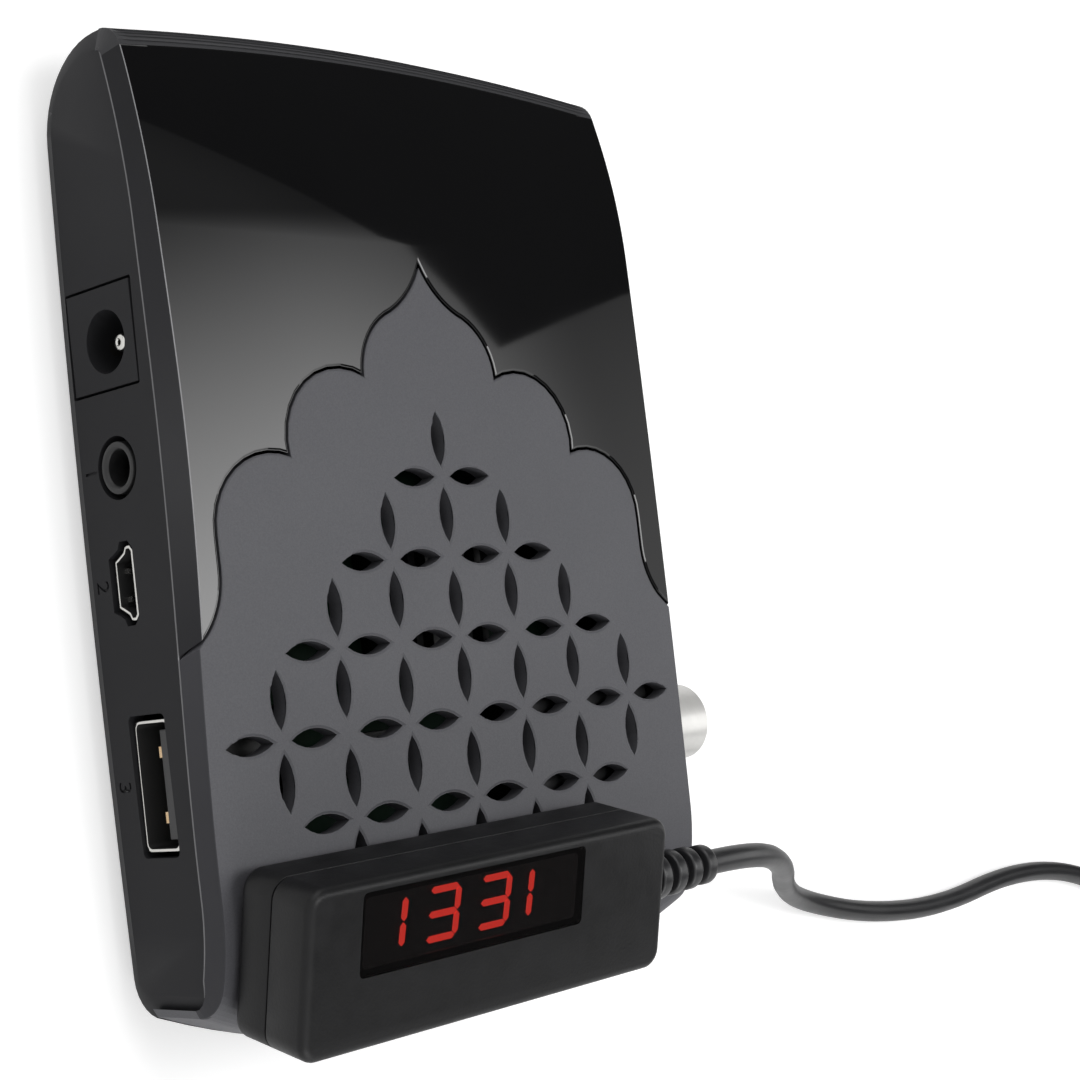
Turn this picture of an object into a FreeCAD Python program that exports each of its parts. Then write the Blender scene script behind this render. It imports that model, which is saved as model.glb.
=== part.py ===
import FreeCAD, Part
import math
import os

# Satellite TV receiver: a flat loaf-shaped box with a latticed arch cover and a gloss cover,
# and a small display unit on a cord that rests on the receiver's near end.
# Millimetres. X to the right, Y away from the near end, Z up from the table.

# ---- driving dimensions: housing ----
LENGTH = 110.0              # along Y, at the middle of the two bowed ends
HALF_WIDTH = 37.4           # at the middle of the bowed sides
SIDE_BOW = 0.9              # the sides fall in by this at the ends
NEAR_BOW_RADIUS = 90.0      # plan radius of the near end
FAR_BOW_RADIUS = 325.0      # plan radius of the far end
FOOT_HEIGHT = 1.2           # the floor stands this high on its feet
BODY_HEIGHT = 16.8          # underside to top
NOSE_LENGTH = 19.5          # stretch at the near end where the top rolls down
NOSE_RADIUS = 28.0
TAIL_LENGTH = 23.5          # stretch at the far end where the top rolls down
TAIL_RADIUS = 75.0
NEAR_TOP_ROUND = 4.5
NEAR_LOW_ROUND = 4.0
FAR_TOP_ROUND = 2.5
FAR_LOW_ROUND = 9.5
SHOULDER_CHAMFER = 1.8      # bevel along both long shoulders
SIDE_WALL = 1.8
FLOOR_WALL = 1.6
SHEET = 2.1                 # thickness of the two covers
RIM_HEIGHT = 4.0            # near rim of the base above its underside
PARTING_GAP = 0.15          # between base and covers

# ---- driving dimensions: arch between the two covers ----
ARCH_GROOVE = 0.35
APEX_Y = 29.0
APEX_WAIST = (5.0, 23.8)    # where the ogee point turns into the top lobe
APEX_HOLLOW = (1.9, 26.2)
TOP_LOBE_BULGE = (8.6, 21.0)
CUSP_ONE = (10.0, 16.5)
MIDDLE_LOBE_BULGE = (19.3, 15.0)
CUSP_TWO = (21.5, 7.9)
LOW_LOBE_BULGE = (30.0, 5.8)
SPRING_LINE = (32.15, 0.0)  # foot of the lowest lobe
FLARE_START_Y = -3.4
FLARE_RADIUS = 9.6
LEDGE_REACH = 2.5           # lip of the arch cover under the gloss cover's edge
LEDGE_SEAT = 2.0            # width of that lip's root under the arch cover
LEDGE_THICKNESS = 1.2

# ---- driving dimensions: petal lattice ----
LATTICE_PITCH = 8.9
LATTICE_TOP_Y = 5.5
LATTICE_REACH = 3           # nodes from the middle of the diamond to each tip
PETAL_LENGTH = 6.14
PETAL_WIDTH = 2.05
PETAL_SHIFT = 0.21          # petals draw together at every second node
PETAL_RIM = 0.28            # bevel round each petal
LATTICE_MARGIN = 3.0        # least distance from a petal's tip to the near end

# ---- driving dimensions: fixings ----
BOSS_RADIUS = 2.8
BOSS_INSET = 6.4            # from the widest side to the boss axis
NEAR_BOSS_INSET = 13.0      # from the near end
FAR_BOSS_INSET = 15.5       # from the far end
POST_HEIGHT = 2.2           # posts round the case screws, above the floor
CASE_SCREW_RADIUS = 1.1
CASE_SCREW_LENGTH = 9.0
CASE_HEAD_RADIUS = 2.1
CASE_HEAD_HEIGHT = 1.4
SCREW_CLEARANCE = 0.1
FOOT_RADIUS = 4.0
FOOT_RECESS = 0.3
FOOT_X = 27.0
NEAR_FOOT_INSET = 22.0      # from the near end
FAR_FOOT_INSET = 24.0       # from the far end
STANDOFF_RADIUS = 2.6
BOARD_SCREW_RADIUS = 1.0
BOARD_SCREW_LENGTH = 4.6
BOARD_HEAD_RADIUS = 2.0
BOARD_HEAD_HEIGHT = 1.2
BOARD_SCREW_INSET = 1.8     # from the board's side edge
LEFT_SCREW_INSET = 14.8     # inboard of the ports
END_SCREW_INSET = 2.8       # from the board's near edge
FAR_SCREW_INSET = 4.0       # from the board's far edge
TUNER_SCREW_GAP = 4.5       # from the tuner can to the right screw beside it

# ---- driving dimensions: circuit board ----
BOARD_THICKNESS = 1.6
BOARD_LIFT = 2.65           # above the floor
BOARD_MARGIN = 2.8          # from the side walls
BOARD_NEAR_GAP = 2.2        # from the near bosses
BOARD_FAR_GAP = 0.7         # from the far bosses

# ---- driving dimensions: left side ports ----
PORT_GAP = 0.3              # between a connector and its opening
DC_Y = 21.5
DC_WIDTH = 10.4
DC_HEIGHT = 10.8
DC_DEPTH = 14.0
DC_BORE_RADIUS = 3.15
DC_BORE_DEPTH = 9.5
DC_BORE_OFFSET = (-0.4, 0.6)
DC_PIN_RADIUS = 1.0
DC_PIN_RECESS = 1.9
DC_PIN_SLIT = 0.35
DC_BASE_DROP = 3.35         # the housing hangs this far below the board's top
DC_EAR = 1.8
DC_EAR_HEIGHT = 1.2
DC_EAR_LENGTH = 6.0
AV_Y = 8.2
AV_BORE_RADIUS = 1.8
AV_NOSE_RADIUS = 2.7
AV_NOSE_LENGTH = 2.2
AV_BODY_WIDTH = 6.6
AV_BODY_HEIGHT = 5.1
AV_BODY_LENGTH = 11.5
AV_TERMINAL_WIDTH = 1.2
METAL_SHEET = 0.35
MINI_Y = -3.5
MINI_HALF_OUTLINE = ((2.4, 0.0), (2.65, 0.6), (3.2, 1.6), (3.8, 1.9), (3.8, 2.7), (3.3, 3.15))
MINI_LENGTH = 9.0
MINI_RECESS = 0.7
MINI_POCKET_SIDE = 0.55
MINI_POCKET_TOP = 1.2
MINI_TONGUE_HALF = 2.6
MINI_TONGUE_THICKNESS = 0.8
TYPE_A_Y = -24.05
TYPE_A_WIDTH = 13.2
TYPE_A_HEIGHT = 5.7
TYPE_A_LENGTH = 14.0
TYPE_A_RECESS = 1.0
TYPE_A_POCKET_SIDE = 0.5
TYPE_A_TONGUE_WIDTH = 11.1
TYPE_A_TONGUE_THICKNESS = 1.9
TYPE_A_TONGUE_DROP = 0.55   # under the shell's upper wall
TYPE_A_BLOCK_LENGTH = 4.0
TYPE_A_CONTACTS = 4
TYPE_A_CONTACT_WIDTH = 1.1
TYPE_A_CONTACT_PITCH = 2.3
CONTACT_THICKNESS = 0.25

# ---- driving dimensions: right side connectors ----
F_INSET = 10.1              # from the tuner can's near face
F_AXIS_ABOVE_BOARD = 1.95
F_RADIUS = 4.75
F_BORE_RADIUS = 3.6
F_LENGTH = 13.4
F_ROOT_RADIUS = 5.4         # collar of the barrel inside the housing wall
F_ROOT_PROUD = 0.2          # the collar ends this far outside the wall
F_INSULATOR_RECESS = 0.6
F_CONTACT_RADIUS = 0.9
F_CONTACT_BORE = 0.45
F_HOLE_CLEARANCE = 0.2
VIDEO_Y = 8.0
VIDEO_WIDTH = 15.0
VIDEO_HEIGHT = 5.6
VIDEO_LENGTH = 12.0
VIDEO_CORNER = 1.6
VIDEO_RECESS = 0.6
VIDEO_TONGUE_WIDTH = 11.6
VIDEO_TONGUE_THICKNESS = 1.4

# ---- driving dimensions: parts on the board ----
TUNER_INSET = 1.0           # from the board's near edge
TUNER_LENGTH = 20.5
TUNER_WIDTH = 21.0
TUNER_HEIGHT = 7.4
TUNER_SHEET = 0.4
TUNER_LID_SKIRT = 0.7
CHIP_PLACE = (2.0, -8.0)
CHIP_SIDE = 14.0
CHIP_HEIGHT = 1.2
SINK_BASE = 1.2
SINK_HEIGHT = 5.2
SINK_FINS = 6
SINK_FIN = 1.0
MEMORY_PLACES = ((18.5, 38.0), (18.5, 17.5))   # inward of the board's far edge, as what follows
MEMORY_SIZE = (8.0, 12.0, 1.1)
CAPACITOR_PLACES = ((-9.5, 7.0), (-2.0, 7.0), (-15.0, 15.5), (7.0, 9.5))
CAPACITOR_RADIUS = 3.15
CAPACITOR_HEIGHT = 7.0
CAPACITOR_GROOVE = 0.4      # height and depth of the rolled groove
CAPACITOR_FOOT = 1.0        # foot to groove
CAPACITOR_BEVEL = 0.35
INDUCTOR_PLACES = ((-15.5, 26.0), (-5.5, 22.0), (3.5, 22.0))
INDUCTOR_SIDE = 6.0
INDUCTOR_HEIGHT = 3.2
CRYSTAL_X = -8.0
CRYSTAL_INSET = 13.0        # from the board's near edge
CRYSTAL_SIZE = (11.2, 4.6, 3.6)
VENT_ROWS = 9
VENT_PITCH = 4.2
VENT_WIDTH = 1.6
VENT_LENGTH = 26.0

# ---- driving dimensions: display unit ----
DISPLAY_LENGTH = 53.0
DISPLAY_WIDTH = 17.3
DISPLAY_DEPTH = 10.5
DISPLAY_X = -8.75
DISPLAY_TILT = 14.0         # degrees, the slope of the nose under it
DISPLAY_REST_GAP = 0.2
DISPLAY_WALL = 1.4
DISPLAY_REAR_DEPTH = 4.85   # back face to the seam
DISPLAY_SEAM = 0.12
DISPLAY_CORNER = 2.2
DISPLAY_EDGE = 1.0
WINDOW_LENGTH = 32.1
WINDOW_HEIGHT = 8.6
WINDOW_CENTRE = (-3.6, 3.15)
WINDOW_THICKNESS = 0.9
WINDOW_LIP = 0.7
WINDOW_GAP = 0.08
WINDOW_CORNER = 0.6
MODULE_LENGTH = 26.0
MODULE_WIDTH = 7.6
MODULE_THICKNESS = 4.2
MODULE_CENTRE = (-5.2, 3.05)
DIGIT_PITCH = 7.45
DIGIT_RIGHT = (-12.9, -5.45, 2.0, 9.45)
DIGIT_WIDTH = 3.85
DIGIT_HALF_HEIGHT = 2.35
DIGIT_SLANT = 0.065
SEGMENT_WIDTH = 0.85
SEGMENT_GAP = 0.07
SEGMENT_RAISE = 0.15
DISPLAY_BOARD_GAP = (1.1, 0.45)     # from the shell's walls, along and across
DISPLAY_BOARD_THICKNESS = 1.2
DISPLAY_POST_RADIUS = 1.6
DISPLAY_POST = 1.8          # height of the posts under the board
EYE_RADIUS = 1.9
EYE_X = 10.2
RELIEF_LENGTH = 13.5
RELIEF_START_RADIUS = 2.95
RELIEF_END_RADIUS = 2.35
RELIEF_NECK_RADIUS = 2.3
RELIEF_FLANGE_RADIUS = 3.2
RELIEF_FLANGE = 1.2
RELIEF_RIBS = 5
RELIEF_GROOVE = 0.55
RELIEF_GAP = 0.1

# ---- driving dimensions: cord ----
CORD_RADIUS = 1.5
ARC_SHARE = 0.45            # part of the shorter run that an arc takes at each of its ends
CORD_FIRST_RUN = 10.8       # straight out of the strain relief
CORD_ROUTE = (
    (54.0, -45.6, 17.2), (65.0, -50.0, 8.0), (77.0, -54.0, 1.5),
    (93.0, -58.5, 1.5), (112.0, -60.5, 1.5), (133.0, -58.5, 1.5), (152.0, -61.0, 1.5),
    (168.0, -68.0, 1.5),
)
COIL_TURNS = 9
COIL_COLUMNS = 3
COIL_MIDDLE_RADIUS = 18.0
COIL_ROUND = 1.4
COIL_LEAD = 1.0             # straight stub of cord that shows before the coil
PLUG_TAIL = 3.0             # straight stub of cord between the coil and the plug
PLUG_SIZE = (14.0, 8.6, 6.4)
PLUG_NECK = 5.0
PLUG_HEADING = (0.0, 1.0)   # the tail leaves the coil this way
PLUG_SHELL_LENGTH = 6.5
PLUG_ROUND = 1.2

# ---- heights and places that follow ----
HALF_LENGTH = LENGTH / 2
UNDERSIDE = FOOT_HEIGHT
TOP = UNDERSIDE + BODY_HEIGHT
NOSE_Y = -HALF_LENGTH + NOSE_LENGTH
TAIL_Y = HALF_LENGTH - TAIL_LENGTH
FLOOR_TOP = UNDERSIDE + FLOOR_WALL
RIM_TOP = UNDERSIDE + RIM_HEIGHT
BOARD_BOTTOM = FLOOR_TOP + BOARD_LIFT
BOARD_TOP = BOARD_BOTTOM + BOARD_THICKNESS
BOARD_HALF = HALF_WIDTH - SIDE_WALL - BOARD_MARGIN
BOARD_NEAR_Y = -HALF_LENGTH + NEAR_BOSS_INSET + BOSS_RADIUS + BOARD_NEAR_GAP
BOARD_FAR_Y = HALF_LENGTH - FAR_BOSS_INSET - BOSS_RADIUS - BOARD_FAR_GAP
TUNER_NEAR_Y = BOARD_NEAR_Y + TUNER_INSET
TUNER_FAR_Y = TUNER_NEAR_Y + TUNER_LENGTH
F_Y = TUNER_NEAR_Y + F_INSET
BEYOND = 40.0               # how far cutting tools run past the model
SIDE_RADIUS = (HALF_LENGTH ** 2 + SIDE_BOW ** 2) / (2 * SIDE_BOW)


# ---- helpers ----
def vec(x, y, z=0.0):
    return FreeCAD.Vector(x, y, z)


def line(start, end):
    return Part.LineSegment(start, end).toShape()


def arc(start, via, end):
    return Part.Arc(start, via, end).toShape()


def box(x_low, x_high, y_low, y_high, z_low, z_high):
    """A block between two corners."""
    corner = vec(x_low, y_low, z_low)
    return Part.makeBox(x_high - x_low, y_high - y_low, z_high - z_low, corner)


def round_box(x_low, x_high, y_low, y_high, z_low, z_high, radius):
    """A block with its four upright edges rounded."""
    block = box(x_low, x_high, y_low, y_high, z_low, z_high)
    upright = [e for e in block.Edges if abs(e.tangentAt(e.FirstParameter).z) > 0.99]
    return block.makeFillet(radius, upright)


def rod(place, radius, length, axis=None):
    """A cylinder that starts at a place and runs along an axis, upward by default."""
    return Part.makeCylinder(radius, length, place, axis or vec(0, 0, 1))


def polygon(points):
    """A flat face from a closed list of corners."""
    return Part.Face(Part.makePolygon(list(points) + [points[0]]))


def middle(edge):
    return edge.valueAt((edge.FirstParameter + edge.LastParameter) / 2)


def edges_where(shape, test):
    """The edges whose middle point passes a test."""
    return [edge for edge in shape.Edges if test(middle(edge))]


def joined(first, *others):
    """One solid from pieces that meet."""
    shape = first.multiFuse(list(others)).removeSplitter()
    return shape.Solids[0] if len(shape.Solids) == 1 else shape


def biggest(shape):
    """The largest solid of a cut."""
    return max(shape.Solids, key=lambda solid: solid.Volume)


# ---- housing forms ----
def corner_point(side_inset, end_radius, end_centre_y):
    """Where a bowed side meets a bowed end, on the right."""
    side_centre = vec(HALF_WIDTH - SIDE_RADIUS, 0)
    side_radius = SIDE_RADIUS - side_inset
    to_end = vec(0, end_centre_y) - side_centre
    distance = to_end.Length
    along = (side_radius ** 2 - end_radius ** 2 + distance ** 2) / (2 * distance)
    across = math.sqrt(side_radius ** 2 - along ** 2)
    unit = to_end / distance
    normal = vec(-unit.y, unit.x)
    choices = [side_centre + unit * along + normal * (across * sign) for sign in (1, -1)]
    right = [point for point in choices if point.x > 0]
    return min(right, key=lambda point: point.y * math.copysign(1, end_centre_y))


def plan_face(side_inset=0.0, near_inset=0.0, far_inset=0.0):
    """Plan outline of the housing from four shallow arcs, each moved inward by an inset."""
    near_centre = -HALF_LENGTH + NEAR_BOW_RADIUS
    far_centre = HALF_LENGTH - FAR_BOW_RADIUS
    near = corner_point(side_inset, NEAR_BOW_RADIUS - near_inset, near_centre)
    far = corner_point(side_inset, FAR_BOW_RADIUS - far_inset, far_centre)
    half = HALF_WIDTH - side_inset
    edges = [
        arc(vec(-near.x, near.y), vec(0, -HALF_LENGTH + near_inset), near),
        arc(near, vec(half, 0), far),
        arc(far, vec(0, HALF_LENGTH - far_inset), vec(-far.x, far.y)),
        arc(vec(-far.x, far.y), vec(-half, 0), vec(-near.x, near.y)),
    ]
    return Part.Face(Part.Wire(edges))


def top_profile_prism(drop, low):
    """Everything under the top surface, lowered by a drop, down to a height."""
    nose_radius = NOSE_RADIUS - drop
    tail_radius = TAIL_RADIUS - drop
    high = TOP - drop
    side_x = -HALF_WIDTH - BEYOND

    def nose(angle):
        return vec(side_x, NOSE_Y - nose_radius * math.sin(angle), high - nose_radius * (1 - math.cos(angle)))

    def tail(angle):
        return vec(side_x, TAIL_Y + tail_radius * math.sin(angle), high - tail_radius * (1 - math.cos(angle)))

    nose_end = math.radians(70)
    tail_end = math.asin(TAIL_LENGTH * 1.3 / tail_radius)
    start, end = nose(nose_end), tail(tail_end)
    edges = [
        arc(start, nose(nose_end / 2), nose(0)),
        line(nose(0), tail(0)),
        arc(tail(0), tail(tail_end / 2), end),
        line(end, vec(side_x, end.y, low)),
        line(vec(side_x, end.y, low), vec(side_x, start.y, low)),
        line(vec(side_x, start.y, low), start),
    ]
    return Part.Face(Part.Wire(edges)).extrude(vec(2 * (HALF_WIDTH + BEYOND), 0, 0))


def raised(face, low, high):
    """A face in the ground plane extruded between two heights."""
    return face.translated(vec(0, 0, low)).extrude(vec(0, 0, high - low))


def outer_form():
    """The outside of the closed housing."""
    form = raised(plan_face(), UNDERSIDE, TOP + BEYOND).common(top_profile_prism(0, UNDERSIDE)).Solids[0]
    half_up = UNDERSIDE + BODY_HEIGHT / 3
    near_y, far_y = -HALF_LENGTH + 1, HALF_LENGTH - 1
    form = form.makeFillet(NEAR_TOP_ROUND, edges_where(
        form, lambda m: abs(m.x) < 1 and m.y < near_y and m.z > half_up))
    form = form.makeFillet(FAR_TOP_ROUND, edges_where(
        form, lambda m: abs(m.x) < 1 and m.y > far_y and m.z > half_up))
    form = form.makeChamfer(SHOULDER_CHAMFER, edges_where(
        form, lambda m: abs(m.x) > HALF_WIDTH / 2 and m.z > UNDERSIDE + 1))
    form = form.makeFillet(NEAR_LOW_ROUND, edges_where(
        form, lambda m: abs(m.x) < 1 and m.y < near_y and m.z < UNDERSIDE + 0.1))
    form = form.makeFillet(FAR_LOW_ROUND, edges_where(
        form, lambda m: abs(m.x) < 1 and m.y > far_y and m.z < UNDERSIDE + 0.1))
    return form


def cavity_form():
    """The hollow above the floor and between the walls, open upward."""
    hollow = raised(plan_face(SIDE_WALL, SIDE_WALL, SIDE_WALL), FLOOR_TOP, TOP + BEYOND)
    for is_near, radius in ((True, NEAR_LOW_ROUND - FLOOR_WALL), (False, FAR_LOW_ROUND - FLOOR_WALL)):
        hollow = hollow.makeFillet(radius, edges_where(
            hollow, lambda m: abs(m.x) < 1 and abs(m.z - FLOOR_TOP) < 0.1 and (m.y < 0) == is_near))
    return hollow


def under_covers(gap):
    """Everything that lies under the covers' inner face, and under the near rim, less a gap."""
    drop = SHEET - gap
    plan = plan_face(-BEYOND / 4, drop, -BEYOND / 4)
    inner = raised(plan, -BEYOND, TOP + BEYOND).common(top_profile_prism(drop, -BEYOND)).Solids[0]
    half_up = UNDERSIDE + BODY_HEIGHT / 3
    inner = inner.makeFillet(NEAR_TOP_ROUND - drop, edges_where(
        inner, lambda m: abs(m.x) < 1 and m.y < -HALF_LENGTH + drop + 1 and m.z > half_up))
    wide = HALF_WIDTH + BEYOND
    slab = box(-wide, wide, -HALF_LENGTH - BEYOND, HALF_LENGTH + BEYOND, -BEYOND, RIM_TOP + gap)
    return inner.fuse(slab)


def arch_face(grow=0.0):
    """Plan outline of the arch cover, closed well outside the near half; it may be grown all round."""
    outside = HALF_WIDTH + BEYOND / 4
    flare_x = SPRING_LINE[0] + FLARE_RADIUS
    turn = math.radians(50)
    flare_via = vec(flare_x - FLARE_RADIUS * math.cos(turn), FLARE_START_Y - FLARE_RADIUS * math.sin(turn))
    half = [
        arc(vec(0, APEX_Y), vec(*APEX_HOLLOW), vec(*APEX_WAIST)),
        arc(vec(*APEX_WAIST), vec(*TOP_LOBE_BULGE), vec(*CUSP_ONE)),
        arc(vec(*CUSP_ONE), vec(*MIDDLE_LOBE_BULGE), vec(*CUSP_TWO)),
        arc(vec(*CUSP_TWO), vec(*LOW_LOBE_BULGE), vec(*SPRING_LINE)),
        line(vec(*SPRING_LINE), vec(SPRING_LINE[0], FLARE_START_Y)),
        arc(vec(SPRING_LINE[0], FLARE_START_Y), flare_via, vec(flare_x, FLARE_START_Y - FLARE_RADIUS)),
        line(vec(flare_x, FLARE_START_Y - FLARE_RADIUS), vec(outside, FLARE_START_Y - FLARE_RADIUS)),
        line(vec(outside, FLARE_START_Y - FLARE_RADIUS), vec(outside, -HALF_LENGTH - BEYOND / 4)),
        line(vec(outside, -HALF_LENGTH - BEYOND / 4), vec(0, -HALF_LENGTH - BEYOND / 4)),
    ]
    right = Part.Wire(half)
    left = right.mirror(vec(0, 0, 0), vec(1, 0, 0))
    face = Part.Face(Part.Wire(Part.__sortEdges__(right.Edges + left.Edges)))
    return face.makeOffset2D(grow) if grow else face


# ---- petal lattice ----
def petal_face(grow, height):
    """A pointed oval of two arcs, long way along X, grown all round by an offset."""
    radius = (PETAL_LENGTH ** 2 + PETAL_WIDTH ** 2) / (4 * PETAL_WIDTH)
    centre_offset = radius - PETAL_WIDTH / 2
    side = PETAL_WIDTH / 2 + grow
    tip = math.sqrt((radius + grow) ** 2 - centre_offset ** 2)
    edges = [
        arc(vec(-tip, 0, height), vec(0, side, height), vec(tip, 0, height)),
        arc(vec(tip, 0, height), vec(0, -side, height), vec(-tip, 0, height)),
    ]
    return Part.Face(Part.Wire(edges))


def petal_tool():
    """Cutter for one petal: a straight slot with a bevelled mouth, its mouth at height 0."""
    slot = petal_face(0, -2 * SHEET).extrude(vec(0, 0, 2 * SHEET))
    mouth = petal_face(PETAL_RIM, -PETAL_RIM).extrude(vec(0, 0, SHEET))
    mouth = mouth.makeChamfer(PETAL_RIM * 0.999, edges_where(mouth, lambda m: m.z < -PETAL_RIM * 0.99))
    return slot.fuse(mouth)


def petal_places():
    """Centre and direction of every petal: a diamond of square cells with a petal on each side."""
    half_steps = range(-2 * LATTICE_REACH - 1, 2 * LATTICE_REACH + 2)
    for row_steps in half_steps:
        for column_steps in half_steps:
            if (row_steps + column_steps) % 2 == 0:
                continue
            if abs(row_steps) + abs(column_steps) > 2 * LATTICE_REACH + 1:
                continue
            yield column_steps / 2, LATTICE_REACH + row_steps / 2


def lattice_tools():
    """All petal cutters, set square to the top surface and drawn together at every second node."""
    tool = petal_tool()
    tools = []
    for column, row in petal_places():
        lies_along_x = row == int(row)
        before = int(math.floor(column if lies_along_x else row))
        other = int(row if lies_along_x else column)
        shift = PETAL_SHIFT if (before + other) % 2 else -PETAL_SHIFT
        x = LATTICE_PITCH * column + (shift if lies_along_x else 0)
        y = LATTICE_TOP_Y - LATTICE_PITCH * row - (0 if lies_along_x else shift)
        if y < -HALF_LENGTH + LATTICE_MARGIN + PETAL_LENGTH / 2:
            continue
        fall = max(0.0, NOSE_Y - y) / NOSE_RADIUS
        slope = math.asin(fall)
        place = FreeCAD.Placement(
            vec(x, y, TOP - NOSE_RADIUS * (1 - math.cos(slope))),
            FreeCAD.Rotation(vec(1, 0, 0), math.degrees(slope)))
        if not lies_along_x:
            place = place.multiply(FreeCAD.Placement(vec(0, 0), FreeCAD.Rotation(vec(0, 0, 1), 90)))
        copy = tool.copy()
        copy.Placement = place
        tools.append(copy)
    return tools


# ---- fixings ----
def case_screw_places():
    """Axes of the four case screws."""
    x = HALF_WIDTH - BOSS_INSET
    near, far = -HALF_LENGTH + NEAR_BOSS_INSET, HALF_LENGTH - FAR_BOSS_INSET
    return [vec(-x, near), vec(x, near)], [vec(-x, far), vec(x, far)]


def board_screw_places():
    """Axes of the four board screws."""
    left, right = LEFT_SCREW_INSET - BOARD_HALF, BOARD_HALF - BOARD_SCREW_INSET
    far = BOARD_FAR_Y - FAR_SCREW_INSET
    return [vec(left, BOARD_NEAR_Y + END_SCREW_INSET), vec(right, TUNER_FAR_Y + TUNER_SCREW_GAP),
            vec(left, far), vec(right, far)]


def foot_places():
    ends = (-HALF_LENGTH + NEAR_FOOT_INSET, HALF_LENGTH - FAR_FOOT_INSET)
    return [vec(side * FOOT_X, y) for side in (-1, 1) for y in ends]


def cover_bosses(places, outer):
    """Bosses that hang from a cover down to the posts of the base, trimmed to the outside."""
    low = FLOOR_TOP + POST_HEIGHT + PARTING_GAP
    return [rod(place + vec(0, 0, low), BOSS_RADIUS, TOP - low).common(outer) for place in places]


def screw_bores(places):
    """Bores for the case screws, a clearance wider than the screws and a little deeper."""
    low = FLOOR_TOP
    high = UNDERSIDE + CASE_HEAD_HEIGHT + CASE_SCREW_LENGTH + 0.5
    radius = CASE_SCREW_RADIUS + SCREW_CLEARANCE
    return [rod(place + vec(0, 0, low), radius, high - low) for place in places]


def case_screws():
    """Pan head screws sunk into the floor from below."""
    screws = []
    for place in sum(case_screw_places(), []):
        head = rod(place + vec(0, 0, UNDERSIDE + 0.2), CASE_HEAD_RADIUS, CASE_HEAD_HEIGHT)
        head = head.makeChamfer(0.3, edges_where(head, lambda m: m.z < UNDERSIDE + 0.25))
        shank = rod(place + vec(0, 0, UNDERSIDE + 0.2 + CASE_HEAD_HEIGHT), CASE_SCREW_RADIUS, CASE_SCREW_LENGTH)
        screws.append(joined(head, shank))
    return Part.makeCompound(screws)


def board_screw_tip():
    """Height of the board screws' tips, inside the standoffs."""
    return BOARD_TOP - BOARD_SCREW_LENGTH


def board_screws():
    """Pan head screws through the board into the standoffs."""
    screws = []
    for place in board_screw_places():
        head = rod(place + vec(0, 0, BOARD_TOP), BOARD_HEAD_RADIUS, BOARD_HEAD_HEIGHT)
        shank = rod(place + vec(0, 0, board_screw_tip()), BOARD_SCREW_RADIUS, BOARD_SCREW_LENGTH)
        screws.append(joined(head, shank))
    return Part.makeCompound(screws)


def rubber_feet():
    """Four round feet set into shallow recesses."""
    feet = []
    for place in foot_places():
        foot = rod(place, FOOT_RADIUS, UNDERSIDE + FOOT_RECESS)
        feet.append(foot.makeChamfer(0.4, edges_where(foot, lambda m: m.z < 0.01)))
    return Part.makeCompound(feet)


# ---- covers and base ----
def side_face_x(y):
    """Half width of the outside at a place along the side."""
    return HALF_WIDTH - SIDE_RADIUS + math.sqrt(SIDE_RADIUS ** 2 - y ** 2)


def covers():
    """The arch cover and the gloss cover."""
    outer = outer_form()
    shell = outer.cut(under_covers(PARTING_GAP))
    near_places, far_places = case_screw_places()
    arch_prism = raised(arch_face(), -BEYOND, TOP + BEYOND)
    arch_grown = raised(arch_face(ARCH_GROOVE), -BEYOND, TOP + BEYOND)

    gloss = biggest(shell.cut(arch_grown))
    gloss = joined(gloss, *cover_bosses(far_places, outer))
    gloss = gloss.cut(Part.makeCompound(screw_bores(far_places))).Solids[0]

    arch = biggest(shell.common(arch_prism))
    seat = TOP - SHEET
    inside = raised(plan_face(SIDE_WALL + 0.3, SIDE_WALL + 0.3, SIDE_WALL + 0.3), seat - BEYOND, seat)
    ring = raised(arch_face(LEDGE_REACH), seat - LEDGE_THICKNESS, seat)
    ring = ring.cut(raised(arch_face(-LEDGE_SEAT), seat - BEYOND, seat + BEYOND)).common(inside)
    ring = ring.cut(box(-BEYOND, BEYOND, -HALF_LENGTH - BEYOND, FLARE_START_Y - 2, -BEYOND, TOP + BEYOND))
    arch = joined(arch, *ring.Solids, *cover_bosses(near_places, outer))
    arch = arch.cut(Part.makeCompound(screw_bores(near_places))).Solids[0]
    arch = arch.cut(Part.makeCompound(lattice_tools())).Solids[0]
    return arch, gloss


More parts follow.
